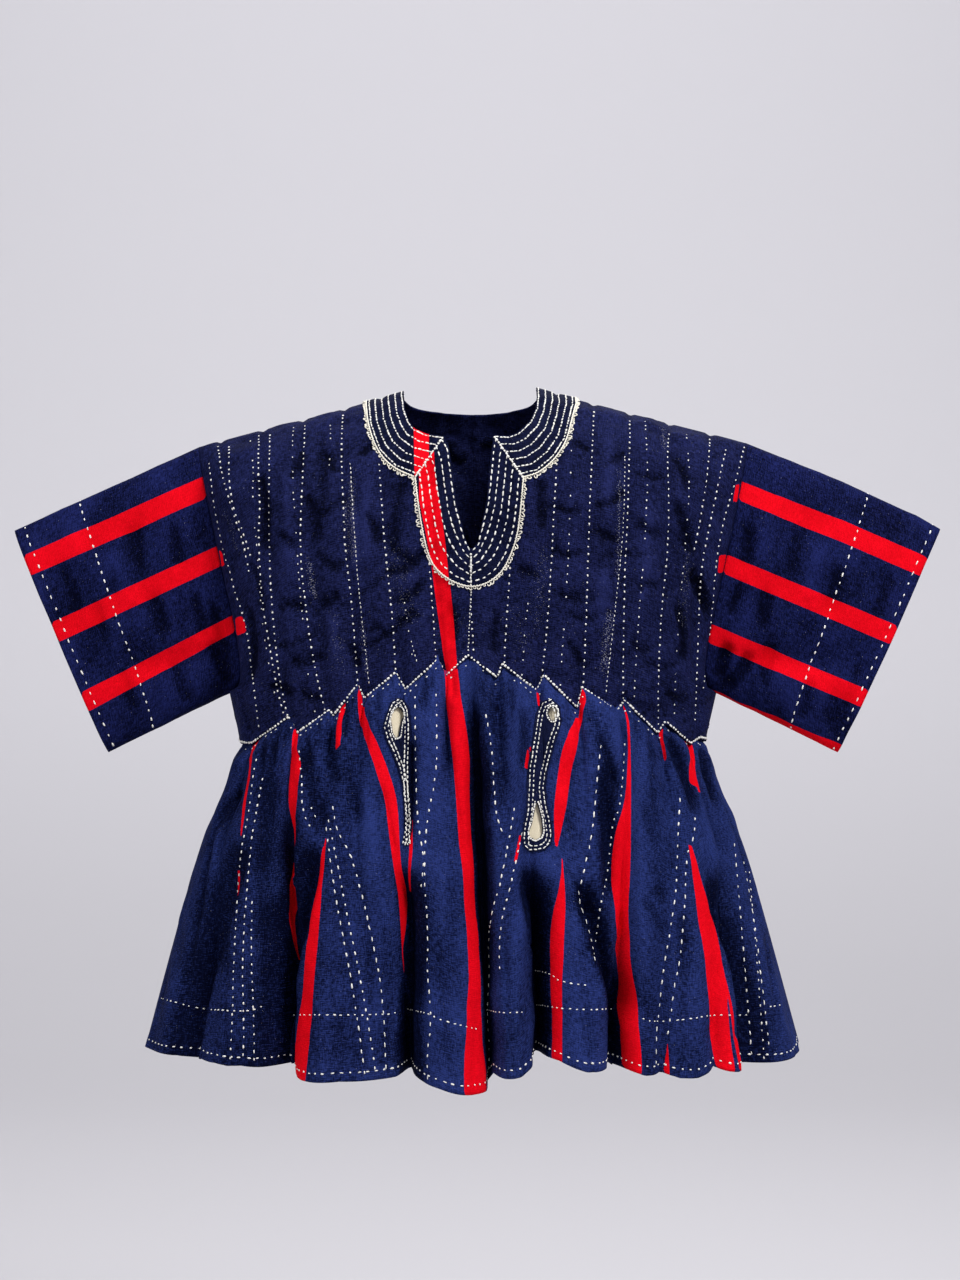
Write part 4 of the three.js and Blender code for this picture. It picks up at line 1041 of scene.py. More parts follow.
def total_of(surface, rows):
    """All creases together."""
    away = np.zeros(surface.points.shape[:2])
    for depth, left, right, rc in rows:
        away += surface.crease(rc, depth, left, right)
    return away


# In each sum below a line is a height in millimetres times noise, with the size and seed of its lumps.
# Bodice: soft lumps, puckers along the seams and a groove in each
for side in SIDES:
    s = bodice[side]
    strip = body_columns[side]["strip"]
    off_seam = np.abs(strip - np.round(strip)) * STRIP_WIDTH
    full = smooth(np.minimum(strip, strip[-1] - strip) / STRIPS_FADE)[None, :]
    below = smooth(s.v / SHOULDER_FADE)
    seam = np.exp(-((off_seam / SEAM_HALF) ** 2))[None, :]
    near = np.exp(-((off_seam / PUCKERED_HALF) ** 2))[None, :]
    pucker = value_noise(s.u / 40, s.v, 7.5, 19 + side) + 0.6 * value_noise(s.u / 9, s.v, 5, 21 + side)
    away = (
        1.8 * value_noise(s.u, s.v, 46, 11 + side)
        + 1.4 * value_noise(s.u, s.v, 21, 13 + side)
        + 1.7 * value_noise(s.u + 0.8 * s.v, s.v - 0.7 * s.u, 15, 17 + side) * (1 - 0.6 * near)
        + 1.1 * pucker * near
        - SEAM_DEEP * seam
    )
    if side == FRONT:
        rows = [(d, w, s.on_cloth(p, 4)) for d, w, p in PX_BODICE_CREASES]
    else:
        rows = [(d, w, bodice_path(BACK, p)) for d, w, p in BACK_BODICE_CREASES]
    rows = [(d, w * BODICE_WIDTHS, w * BODICE_WIDTHS, rc) for d, w, rc in rows]
    creases = BODICE_CREASING * total_of(s, rows)
    # Painted shade and light: creases and lumps darken the colour in troughs and lighten it on ridges
    s.painted_shading_and_tone = np.clip((creases + 0.2 * away) / SHADING_DEPTH, -1, 1) * full * below
    away = (away + creases) * full * below
    lower = smooth((np.arange(s.rows) - (last_row - LOWER_ROWS)) / LOWER_ROWS)[:, None]
    s.push(away + LOWER_EDGE_OUT * lower)
    notch = sum(np.exp(-(((s.points[..., 0] - x) / NOTCH_HALF) ** 2)) for x, *_ in STRIP_ROWS[1:-1])
    dipped = s.points.copy()
    dipped[..., 2] -= SEAM_NOTCH * notch * np.exp(-((s.v / NOTCH_FADE) ** 2))
    s.set(dipped)
# Skirt: folds, gathers at the seam, pressed pleats and lumps. The folds go straight into the body.
for side in SIDES:
    s = skirt[side]
    s.warp = np.repeat(s.u[-1:], s.rows, 0)
    s.weft = s.v[-1:] - s.v
    waist_u = s.u[0][None, :]
    share = skirt_downs[:, None]
    edge = smooth(np.minimum(waist_u, waist_u.max() - waist_u) / SKIRT_SIDE_FADE)
    gathers = value_noise(waist_u + 0 * s.v, s.v * 0.12, 5.5, 23 + side)
    pleats = value_noise(s.warp, s.weft * 0.1, 17, 29 + side)
    away = (
        2.2 * gathers * np.exp(-s.v / GATHER_LONG) * smooth(s.v / GATHER_FADE)
        + 1.6 * pleats * smooth(share / PLEAT_FADE)
        + 1.7 * value_noise(s.warp, s.weft, 38, 31 + side)
        + 0.9 * value_noise(s.warp + 0.5 * s.weft, s.weft * 0.8 - 0.4 * s.warp, 21, 33 + side)
        + 0.3 * value_noise(s.warp, s.weft, 10, 37 + side)
    )
    if side == FRONT:
        rows = [(d, a, b, steady(s.on_cloth(p, 4))) for d, a, b, p in PX_SKIRT_CREASES]
        rows += [(d, w, w, s.on_cloth(p, 3)) for d, w, p in PX_GATHERS]
    else:
        rows = []
        for k, (d, a, b, x, sway, start, end) in enumerate(BACK_SKIRT_CREASES):
            t = np.linspace(start, end, 30)
            c = index_at(x + sway * np.sin(3 * t + k), back_hem_x)
            rows.append((d, a, b, grid_path(t * (s.rows - 1), c)))
        draw = np.random.default_rng(5).uniform
        for x in np.arange(-225, 230, 24.0):  # short gathers
            c = index_at(x + draw(-8, 8), s.points[0, :, 0])
            r = np.linspace(1, draw(6, 14), 6)
            w = draw(3, 4.4)
            rows.append((draw(3, 6), w, w, grid_path(r, c)))
    creases = total_of(s, rows) * edge
    half = np.abs(s.points[..., 0]).max(1, keepdims=True)
    full = np.abs(s.points[..., 1]).max(1, keepdims=True)
    radial = unit(np.stack([s.points[..., 0] / half**2, s.points[..., 1] / full**2, 0 * share * edge], -1))
    if side == FRONT:
        shade = np.interp(to_px(s.points[-1])[:, 0], *np.array(PX_SHADES, float).T)
    else:
        shade = 0.35 * value_noise(s.warp, 0 * s.warp, 55, 53)
    # Painted shade and light from the creases and lumps, plus the skirt's tone by place across it
    seen = 0.4 * away * edge + 0.8 * softened(creases, SHADING_SOFTENING)
    s.painted_shading_and_tone = np.clip(seen / SHADING_DEPTH + shade, -1, 1)
    s.set(s.points + creases[..., None] * radial + (away * edge)[..., None] * s.normals)
# Sleeves: lumps and creases that die out at the armhole and at the folded edges
for k, (name, s) in enumerate(sleeve.items()):
    fade = smooth(s.v / ARMHOLE_FADE)
    ring = np.arange(s.columns)
    away = (
        1.4 * value_noise(s.u, s.v, 40, 41 + k)
        + 1.0 * value_noise(s.u * 0.6, s.v, 17, 43 + k)
        + 0.5 * value_noise(s.u * 0.5, s.v, 9, 47 + k)
    )
    rows = [(d, w, w, s.on_cloth(p, 4)) for d, w, p in PX_SLEEVE_CREASES[name]]
    rows += [(d, w, w, sleeve_path(p)) for d, w, p in BACK_SLEEVE_CREASES]
    fold = np.minimum(np.abs(ring - (SLEEVE_ROUND - 1)), np.minimum(ring, s.columns - ring))
    away = (away + SLEEVE_CREASING * total_of(s, rows)) * fade * smooth(fold / SLEEVE_FOLD_FADE)[None, :]
    # Painted shade in the sleeves' troughs and painted light on their ridges
    s.painted_shading_and_tone = np.clip(away / SHADING_DEPTH, -1, 1)
    s.push(away)

# ---- worn cloth, where the weft shows white ----
# Strength, half width and path on the front of the bodice
PX_WORN = [
    (1.0, 4, [(351, 465), (352, 520), (356, 575)]), (0.7, 8, [(348, 490), (350, 540), (354, 572)]),
    (0.9, 5, [(307, 553), (312, 580), (316, 606)]), (0.9, 3, [(361, 611), (365, 650), (368, 684)]),
    (0.45, 14, [(392, 529), (402, 580), (412, 636)]), (0.9, 3, [(620, 455), (619, 530), (617, 599)]),
    (0.9, 6, [(612, 599), (607, 640), (602, 684)]), (0.5, 9, [(544, 529), (541, 590), (535, 648)]),
    (0.8, 4, [(663, 426), (664, 440), (664, 456)]), (0.35, 12, [(505, 600), (520, 630), (526, 660)]),
    (0.5, 7, [(690, 540), (686, 580), (682, 640)]), (0.3, 14, [(455, 600), (456, 630), (460, 652)]),
    (0.5, 6, [(222, 500), (232, 530), (240, 560)]), (0.4, 10, [(330, 600), (336, 640), (344, 684)]),
]  # fmt: skip
# Back of the bodice: strength, half width, and the path as strip and share of the way down
BACK_WORN = [
    (0.9, 4, [(3.1, 0.3), (3.1, 0.6)]), (0.7, 8, [(5.9, 0.4), (5.95, 0.75)]),
    (0.9, 3, [(9.1, 0.2), (9.1, 0.5)]), (0.5, 12, [(8.4, 0.6), (8.5, 0.95)]),
    (0.9, 5, [(10.9, 0.5), (10.95, 0.9)]), (0.4, 12, [(4.5, 0.5), (4.5, 0.8)]),
]  # fmt: skip
worn_paths = [(FRONT, a, w, bodice[FRONT].on_cloth(p, 4)) for a, w, p in PX_WORN]
worn_paths += [(BACK, a, w, bodice_path(BACK, p)) for a, w, p in BACK_WORN]
for side, strength, width, rc in worn_paths:
    s = bodice[side]
    s.worn = np.maximum(s.worn, s.crease(rc, -strength, width, width))

# ---- hand stitching ----
GRAIN_SIDES = 5
GRAIN_RINGS = (-0.26, 0.26)  # shares of the length at which a grain is thickest
TIP_DROP = 0.35  # of the height, how far its tips lie below its middle
SLANT_VARIES, PLACE_VARIES, LENGTH_VARIES, WIDTH_VARIES = 0.14, 0.25, 0.35, 0.28
TUBE_SIDES = 5
TUBE_GUIDE = np.array([0.13, 1.0, 0.21])  # no tube runs along this direction
SHORTEST, FIRST_AT, PITCH_VARIES = 0.6, 0.4, 0.1  # in pitches: a path, its first stitch, and its jitter
STITCH_RISE = 0.22  # of a stitch's height, how far its middle lies above the cloth
threads = {}  # piece name -> rows of centre, direction, normal, length, width, height


def grain(piece, centres, directions, normals, length, width, height):
    """Notes single stitches down for a piece, each a little off its place, direction and size."""
    n = len(centres)
    if not n:
        return
    wobble = rng.uniform(-1, 1, (n, 4))
    out = unit(normals)
    along = unit(directions - (directions * out).sum(1, keepdims=True) * out)
    beside = np.cross(out, along)
    along = unit(along + SLANT_VARIES * wobble[:, :1] * beside)
    centres = centres + PLACE_VARIES * wobble[:, 1:2] * beside
    length, width = length * (1 + LENGTH_VARIES * wobble[:, 2]), width * (1 + WIDTH_VARIES * wobble[:, 3])
    rows = np.concatenate([centres, along, out, np.stack([length, width, np.full(n, height)], 1)], 1)
    threads.setdefault(piece, []).append(rows)


def stitches(piece, surface, rc, pitch, length, width, height, jump=14, missing=0.0):
    """Stitches at a pitch along a path, a share of them missing, with none where the cloth jumps."""
    if len(rc) < 2:
        return
    points, normals = surface.at(rc), unit(surface.at(rc, surface.normals))
    gaps = np.linalg.norm(np.diff(points, axis=0), axis=1)
    cuts = np.concatenate([[0], np.nonzero(gaps > jump)[0] + 1, [len(points)]])
    for a, b in zip(cuts[:-1], cuts[1:]):
        if b - a < 2:
            continue
        p, n = points[a:b], normals[a:b]
        along = along_path(p)
        if along[-1] < pitch * SHORTEST:
            continue
        at = np.arange(pitch * FIRST_AT, along[-1], pitch)
        at = at + rng.uniform(-PITCH_VARIES, PITCH_VARIES, len(at)) * pitch
        at = at[rng.uniform(0, 1, len(at)) >= missing]
        spot = lambda x: np.stack([np.interp(x, along, p[:, k]) for k in range(3)], 1)
        out = np.stack([np.interp(at, along, n[:, k]) for k in range(3)], 1)
        ahead = spot(at + 0.8) - spot(at - 0.8)
        good = np.linalg.norm(ahead, axis=1) > 1e-6
        centre = spot(at) + unit(out) * (STITCH_RISE * height)
        grain(piece, centre[good], ahead[good], out[good], length, width, height)


def build_threads(material):
    """All stitches of each piece as one mesh of pointed grains."""
    made = {}
    angle = np.linspace(0, 2 * np.pi, GRAIN_SIDES, endpoint=False)
    for piece, rows in threads.items():
        g = np.concatenate(rows)
        centre, along, out = g[:, 0:3], g[:, 3:6], g[:, 6:9]
        length, width, height = g[:, 9:10], g[:, 10:11], g[:, 11:12]
        beside = np.cross(out, along)
        rings = [centre - along * length / 2 - out * height * TIP_DROP]
        for share in GRAIN_RINGS:
            for a in angle:
                round_it = beside * (width / 2 * math.cos(a)) + out * (height / 2 * math.sin(a))
                rings.append(centre + along * length * share + round_it)
        rings.append(centre + along * length / 2 - out * height * TIP_DROP)
        points = np.stack(rings, 1)
        n, size = len(g), len(rings)
        faces = []
        for k in range(GRAIN_SIDES):
            j = (k + 1) % GRAIN_SIDES
            a, b, c, d = 1 + k, 1 + j, 1 + GRAIN_SIDES + j, 1 + GRAIN_SIDES + k
            faces += [(0, b, a), (a, b, c), (a, c, d), (d, c, size - 1)]
        faces = np.array(faces)[None] + (np.arange(n) * size)[:, None, None]
        made[piece] = new_mesh(piece, points.reshape(-1, 3), faces.reshape(-1, 3), material)
    return made


def tubes(paths):
    """Points and faces of round tubes along paths that come with their radius."""
    points, faces, base = [], [], 0
    angle = np.linspace(0, 2 * np.pi, TUBE_SIDES, endpoint=False)
    for path, radius in paths:
        ahead = unit(np.gradient(path, axis=0))
        a = unit(np.cross(ahead, TUBE_GUIDE))
        b = np.cross(ahead, a)
        ring = np.cos(angle)[None, :, None] * a[:, None] + np.sin(angle)[None, :, None] * b[:, None]
        points.append((path[:, None] + radius * ring).reshape(-1, 3))
        r, k = np.meshgrid(np.arange(len(path) - 1), np.arange(TUBE_SIDES), indexing="ij")
        j = (k + 1) % TUBE_SIDES
        low, high = r * TUBE_SIDES, (r + 1) * TUBE_SIDES
        faces.append(np.stack([low + k, low + j, high + j, high + k], -1).reshape(-1, 4) + base)
        base += len(path) * TUBE_SIDES
    return np.concatenate(points), np.concatenate(faces)


# Dotted seams on the front of the bodice
PX_BODICE_SEAMS = [
    [(229, 446), (229, 481), (233, 508), (244, 534), (250, 555)],
    [(218, 446), (222, 476), (235, 518), (244, 545), (249, 573)],
    [(259, 435), (258, 469), (260, 505), (258, 541), (263, 609), (267, 630), (276, 684), (284, 716)],
    [(270, 434), (269, 473), (269, 523), (270, 580), (274, 630), (279, 676), (288, 719)],
    [(305, 425), (304, 451), (301, 505), (300, 551), (304, 594), (311, 648), (320, 691), (326, 716)],
    [(343, 414), (341, 451), (343, 498), (345, 551), (351, 594), (355, 648), (358, 687)],
    [(379, 462), (381, 498), (386, 559), (392, 612), (396, 676)], [(429, 562), (432, 600), (436, 662)],
    [(209, 462), (213, 499), (217, 520), (224, 555), (230, 570), (234, 590), (242, 611), (248, 636),
     (252, 672), (259, 728)],
    [(744.3, 446), (738.5, 470), (731.6, 494), (723.6, 520), (719, 544), (715.6, 567), (713, 600),
     (709, 640), (703, 690)],
    [(471, 590), (471, 612), (474, 655)], [(510, 566), (506, 630), (504, 666)],
    [(557, 462), (554, 505), (551, 569), (547, 630), (542, 673), (541, 690)],
    [(594, 407), (592, 451), (589, 523), (587, 594), (585, 648), (583, 687)],
    [(630, 416), (629, 469), (627, 523), (624, 594), (623, 666), (623, 701)],
    [(670, 425), (667, 451), (669, 505), (667, 559), (661, 612), (658, 684), (658, 730)],
    [(710, 435), (708, 469), (701, 516), (694, 551)],
    [(726, 448), (719, 480), (713, 509), (701, 566), (699, 609), (697, 666), (695, 720)],
]  # fmt: skip
# Worn seams where the thread's white has rubbed off along the cloth
PX_WORN_SEAMS = [
    [(350, 462), (356, 559), (361, 612), (369, 684)],
    [(625, 451), (624, 523), (617, 594), (606, 691)],
    [(411, 640), (417, 663)],
]
PX_WAIST_SEAM = [
    (251.6, 743), (288.9, 716.5), (296.5, 733), (330, 710), (333, 715.6), (357.7, 684),
    (362.5, 700), (395, 672.5), (405.6, 689), (438, 659), (445.8, 676), (467.8, 655),
    (496.5, 677), (503, 664), (537.4, 691), (544, 675), (577.6, 708), (582.3, 687),
    (616.8, 711), (620.6, 705.5), (624.4, 700), (657.9, 733), (665.6, 721), (690.4, 743), (700, 737),
]  # fmt: skip
# Seams on the front of the skirt: a pitch and a stitch length in millimetres, then the path
PX_SKIRT_SEAMS = [
    (9, 3.2, [(257, 757), (253.5, 772), (251.5, 790), (249, 812), (244, 835), (240, 860), (234, 952),
     (232, 1030), (230, 1060)]),
    (9, 3.2, [(263, 776), (257, 805), (250, 850), (242, 952), (244, 1030), (243, 1060)]),
    (9, 3.2, [(252, 900), (251, 952), (254, 1030), (254, 1062)]),
    (9, 3.2, [(299, 748), (302, 784), (302, 811), (313, 833)]), (9, 3.2, [(310, 805), (318, 823)]),
    (11, 4.6, [(332, 803), (337, 832), (349, 850), (358, 880), (367, 916), (376, 958), (383, 1000),
     (386, 1072)]),
    (10, 3.6, [(328, 817), (337, 862), (346, 910), (355, 952), (367, 1015), (376, 1075)]),
    (11, 4.6, [(326, 826), (334, 889), (341, 925), (350, 973), (359, 1030), (365, 1078)]),
    (11, 4.2, [(436, 691), (437, 745), (436, 775), (427, 820), (425, 844), (424, 880), (427, 910),
     (428, 940), (427, 970), (430, 1000), (431, 1027), (427, 1054), (428, 1084)]),
    (11, 4.2, [(415, 694), (416, 784), (418, 826), (424, 856), (421, 889)]),
    (10, 4.0, [(485, 712), (491, 739), (494, 790), (497, 820), (505, 839)]),
    (10, 4.0, [(515, 805), (506, 856), (499, 889), (493, 907), (488, 940), (490, 970), (487, 1009),
     (490, 1054), (488, 1072)]),
    (10, 4.0, [(525, 820), (516, 860), (509, 893), (503, 912), (499, 945), (500, 975)]),
    (12, 5.6, [(601, 743), (598, 769), (595, 805), (592, 835), (584, 871), (577, 898), (589, 928),
     (595, 961)]),
    (9, 2.8, [(625, 742), (623, 772), (620, 808), (613, 820), (610, 850), (607, 877), (601, 901), (598,
     925), (593, 958)]),
    (12, 4.8, [(680, 796), (679, 820), (677, 856), (676, 892), (671, 925), (667, 949), (662, 979),
     (659, 1012), (656, 1033), (656, 1075)]),
    (12, 4.8, [(695, 814), (694, 838), (686, 856), (685, 904), (682, 940), (679, 964), (674, 988),
     (671, 1015), (667, 1039)]),
    (11, 4.6, [(734, 841), (740, 910), (746, 985), (752, 1060)]),
    (11, 4.6, [(743, 859), (755, 925), (763, 994), (770, 1054)]),
    (9, 2.8, [(749, 870), (752, 905), (757, 960), (761, 1020), (764, 1058)]),
]  # fmt: skip
PX_SECOND_HEM = [
    [(161, 998), (181, 1004), (202, 1009), (248, 1012), (263, 1006)],
    [(293, 1015), (385, 1015), (397, 1012)],
    [(407, 1009), (427, 1013), (442, 1021), (480, 1030)],
    [(485, 1009), (499, 1013), (524, 1012)],
    [(532, 970), (550, 973), (560, 982), (592, 986)],
    [(533, 1004), (574, 1010), (613, 1009)],
    [(640, 1018), (652, 1022), (694, 1019), (709, 1015), (751, 1015)],
    [(769, 1007), (784, 1004)],
]
# Transverse and cuff seams of the sleeves: top and bottom point in the photograph
PX_SLEEVE_SEAMS = {
    "left": [((75, 503), (159, 728)), ((24, 532), (112, 745))],
    "right": [((878, 499), (781, 724)), ((935, 531), (833, 748))],
}
PX_FAINT_SEAMS = [
    [(294, 420), (292, 450), (294, 510), (296, 535), (299, 580), (302, 611), (306, 650), (309, 683),
     (315, 712)],
    [(250, 440), (254, 470), (252, 500), (258, 560), (262, 620), (268, 660), (276, 700)],
    [(330, 418), (331, 440), (329, 470)],
    [(645, 420), (648, 470), (645, 540), (640, 600), (636, 660), (634, 700)],
    [(572, 420), (571, 470), (569, 540), (566, 600), (562, 650), (560, 690)],
    [(686, 430), (690, 480), (686, 540), (680, 600), (676, 660), (674, 715)],
    [(528, 600), (524, 640), (522, 676)], [(404, 600), (410, 640), (414, 668)],
]  # fmt: skip
# Places at the back's hem of the seams above them
BACK_SEAMS = [-318, -262, -246, -196, -180, -122, -106, -96, -20, -6, 60, 76, 138, 150, 220, 236, 292, 306]
HEM_INSET = 9  # from the hem to its line of stitches
DOT = {"pitch": 7.6, "length": 2.4, "width": 1.8, "height": 1.0}
CHUNK = {"pitch": 4.1, "length": 3.4, "width": 2.3, "height": 1.6, "jump": 30}
RUBBED = {"pitch": 5.0, "length": 2.6, "width": 0.9, "height": 0.5}
FAINT = {"pitch": 8.5, "length": 1.9, "width": 1.3, "height": 0.7, "missing": 0.3}
CUFF = {"length": 4.4, "width": 1.6, "height": 0.9, "jump": 30}
ARMHOLE = {"pitch": 8.6, "length": 3.2, "width": 1.6, "height": 0.9, "jump": 30}
GORE = {"width": 1.5, "height": 0.9}
TURN_UP = {"pitch": 7.6, "length": 2.9, "width": 1.4, "height": 0.9}
HEM_LINE = {"pitch": 9.4, "length": 3.6, "width": 1.6, "height": 0.9, "jump": 40}
UNDER_WAIST = {"pitch": 7.5, "length": 2.2, "width": 1.5, "height": 0.9, "jump": 40, "missing": 0.5}


def above_hem(surface, columns, height):
    """A path across the skirt at a height above its hem."""
    down = np.interp(columns, np.arange(surface.columns), surface.v[-1])
    return grid_path((SKIRT_ROW_COUNT - 1) * (1 - height / down), columns)


front, back = bodice[FRONT], bodice[BACK]
for px_paths, kind in ((PX_BODICE_SEAMS, DOT), (PX_WORN_SEAMS, RUBBED), (PX_FAINT_SEAMS, FAINT)):
    for path in px_paths:
        stitches("stitches_bodice_front", front, front.on_cloth(path), **kind)
waist_row = last_row - 0.7
waist_path = front.on_cloth(PX_WAIST_SEAM, step=2.0, straight=True)
to_left = grid_path(waist_row, np.linspace(0.5, waist_path[0, 1], 30))
to_right = grid_path(waist_row, np.linspace(waist_path[-1, 1], front.columns - 1.5, 30))
stitches("stitches_bodice_front", front, np.concatenate([to_left, waist_path, to_right]), **CHUNK)

back_seams = []  # strip, and the row where the seam starts, which is lower below the neck
for strip in range(1, 14):
    start = 34 if abs(strip - 7) <= 2 else 4
    back_seams += [(strip + off, start) for off in ((-0.13, 0.11) if strip % 2 else (0.1,))]
for strip, start in back_seams + [(0.35, 6), (13.65, 6)]:
    path = grid_path(np.linspace(start, last_row - 1, 90), strip_column(BACK, strip))
    stitches("stitches_bodice_back", back, path, **DOT)
path = grid_path(waist_row, np.linspace(0.5, back.columns - 1.5, 500))
stitches("stitches_bodice_back", back, path, **CHUNK)

for name, s in sleeve.items():
    ring = np.linspace(0, s.columns, 420)
    for (top_px, bottom_px), pitch in zip(PX_SLEEVE_SEAMS[name], (10.0, 12.4)):
        middle = found(s.cast([mix(np.array(top_px), np.array(bottom_px), k) for k in (0.25, 0.75)]))
        row = float(middle[:, 0].mean()) if len(middle) else SLEEVE_ALONG - 3
        path = grid_path(min(row, SLEEVE_ALONG - 2.2), ring)
        stitches("stitches_sleeve_" + name, s, path, pitch=pitch, **CUFF)
    path = grid_path(1.6, np.linspace(SLEEVE_ROUND, s.columns, 210))
    stitches("stitches_sleeve_" + name, s, path, **ARMHOLE)

s = skirt[FRONT]
for pitch, length, path in PX_SKIRT_SEAMS:
    stitches("stitches_skirt_front", s, s.on_cloth(path, step=3), pitch=pitch, length=length, **GORE)
for path in PX_SECOND_HEM:
    stitches("stitches_skirt_front", s, s.on_cloth(path, step=3), **TURN_UP)
for side, where in SIDES.items():
    s = skirt[side]
    c = np.linspace(0, s.columns - 1.001, 900)
    stitches("stitches_skirt_" + where, s, above_hem(s, c, HEM_INSET), **HEM_LINE)
    stitches("stitches_skirt_" + where, s, grid_path(1.6, c), **UNDER_WAIST)
s = skirt[BACK]
for k, x in enumerate(BACK_SEAMS):
    rows = np.linspace(2 + 9 * (k % 3 == 1), SKIRT_ROW_COUNT - 3, 120)
    path = grid_path(rows, index_at(x, back_hem_x) + 1.2 * np.sin(rows / 21 + k))
    stitches("stitches_skirt_back", s, path, pitch=10 + k % 3, length=3.6, **GORE)
c = np.linspace(3, s.columns - 4, 800)
stitches("stitches_skirt_back", s, above_hem(s, c, 62 + 7 * np.sin(c / 23)), **TURN_UP)

# ---- neck ----
# Inner neckline from its left top to its right top, and the band's outer edge in two collar
# halves and the placket between their notches.
PX_NECKLINE = [
    (403, 396), (405, 410), (409, 421), (415, 429), (427, 434), (443, 436), (449, 447), (456, 499),
    (465, 538), (471, 551), (478, 542), (487, 499), (492, 447), (494, 435), (508, 436), (517, 433),
    (530, 421), (536, 408), (537, 396),
]  # fmt: skip
PX_COLLAR_LEFT = [(366, 404), (368, 425), (377, 451), (393, 468), (415, 477)]
PX_COLLAR_RIGHT = [(576, 404), (573, 414), (567, 440), (556, 458), (539, 473), (523.5, 477)]
PX_PLACKET = [
    (415, 477), (419, 512), (425, 544), (431, 562), (440, 573), (453, 582), (469, 587), (484, 585),
    (498, 576), (508, 562), (517, 538), (521, 507), (523.5, 477),
]  # fmt: skip
PX_BAND_RED = [
    [(413.5, 426), (429, 432), (429, 457), (414.5, 477)],
    [(419, 470), (434, 451), (435, 472), (442, 518), (446, 548), (449, 579), (437, 571), (430, 556),
     (425, 530), (419, 500)],
]  # fmt: skip
COLLAR_ROWS = (0.04, 0.22, 0.40, 0.58, 0.76, 0.92)
PLACKET_ROWS = (0.06, 0.25, 0.45, 0.65, 0.86)
BAND_WALL, BAND_GAP = 1.3, 0.5
NEAR_RIDGE = 5  # how far before y = 0 a point lies that misses the cloth
ABOVE = 70  # outlines that pass over the shoulders end this high
BAND_LOW = {FRONT: -225, BACK: -84}  # the band ends above these heights
BAND_STRIPS, BAND_STEP = (3.2, 10.8), 0.45  # strips that it lies between, and its grid's step
OUTSIDE = 400  # in depth, beyond all cloth


class Patch(Surface):
    """A finer grid over part of another surface, moved out from it."""

    def __init__(self, parent, rows, columns, away):
        r, c = np.meshgrid(rows, columns, indexing="ij")
        rc = np.stack([r.ravel(), c.ravel()], 1)
        points = parent.at(rc) + unit(parent.at(rc, parent.normals)) * away
        super().__init__(points.reshape(*r.shape, 3), parent.sign)
        for key in ("red", "worn", "painted_shading_and_tone"):
            setattr(self, key, parent.at(rc, getattr(parent, key)).reshape(r.shape))


def to_plane(surface, px):
    """Points of the photograph as x and z on a surface; those that miss it lie near the ridge."""
    px = np.asarray(px, float)
    rc = surface.cast(px)
    hits = surface.at(np.nan_to_num(rc))[:, [0, 2]]
    scale = MM_PER_PX * (FAR - NEAR_RIDGE) / FAR
    x = (px[:, 0] - PX_CENTRE[0]) * scale + CAMERA[0]
    missed = np.stack([x, CAMERA[2] - (px[:, 1] - PX_CENTRE[1]) * scale], 1)
    return np.where(np.isnan(rc[:, :1]), missed, hits)


def at_plane(surface, side, xz):
    """Rows and columns of a surface under points in the plane of x and z."""
    hits = []
    for x, z in xz:
        p, index = surface.hit((x, side * OUTSIDE, z), (0, -side, 0))
        if index < 0:
            continue
        r, c = divmod(index, surface.columns - 1)
        a, b, e = surface.points[r, c], surface.points[r, c + 1], surface.points[r + 1, c]
        hits.append((r + share_along(p, a, e), c + share_along(p, a, b)))
    return np.array(hits)


def open_above(outline):
    """Closes an outline far above its two ends."""
    outline = np.asarray(outline, float)
    return np.concatenate([[(outline[0, 0], ABOVE)], outline, [(outline[-1, 0], ABOVE)]])


def both_halves(rows):
    """Half widths about the middle of the neck as an outline from left to right."""
    left = [(NECK_X - half, z) for half, z in rows]
    return np.array(left + [(NECK_X + half, z) for half, z in rows[::-1][1:]])


neck_hole = {
    FRONT: open_above(to_plane(front, PX_NECKLINE)),
    BACK: open_above(rounded(both_halves(BACK_HOLE), 2)),
}
px_outer = PX_COLLAR_LEFT + PX_PLACKET[1:-1] + PX_COLLAR_RIGHT[::-1]
band_edge = {
    FRONT: open_above(to_plane(front, px_outer)),
    BACK: open_above(rounded(both_halves(BACK_BAND), 2)),
}
neck_patch = {}
for side in SIDES:
    low, high = strip_column(side, BAND_STRIPS)
    middle = bodice[side].points[:, int((low + high) / 2), 2]
    rows = np.arange(0, int(np.argmax(middle < BAND_LOW[side])), BAND_STEP)
    neck_patch[side] = Patch(bodice[side], rows, np.arange(low, high, BAND_STEP), BAND_GAP + BAND_WALL)

band = neck_patch[FRONT]


def between(inner, outer, share, count=60):
    """A row between two photograph paths that run side by side."""
    even = lambda p: resample(p, along_path(np.asarray(p, float))[-1] / (count - 1))[:count]
    a, b = even(inner), even(outer)
    n = min(len(a), len(b))
    return mix(a[:n], b[:n], share)


def px_stitches(piece, surface, px, **kind):
    """Stitches along a path of the photograph."""
    stitches(piece, surface, found(surface.cast(px)), **kind)


def to_ridge(rc, start=False, end=False):
    """A path on a neck patch, carried on to the shoulder line at its start or its end."""
    rc = found(rc)
    first, last = rc[0], rc[-1]
    if start:
        rc = np.concatenate([grid_path(np.linspace(0.2, first[0], 12)[:-1], first[1]), rc])
    if end:
        rc = np.concatenate([rc, grid_path(np.linspace(last[0], 0.2, 12)[1:], last[1])])
    return rc


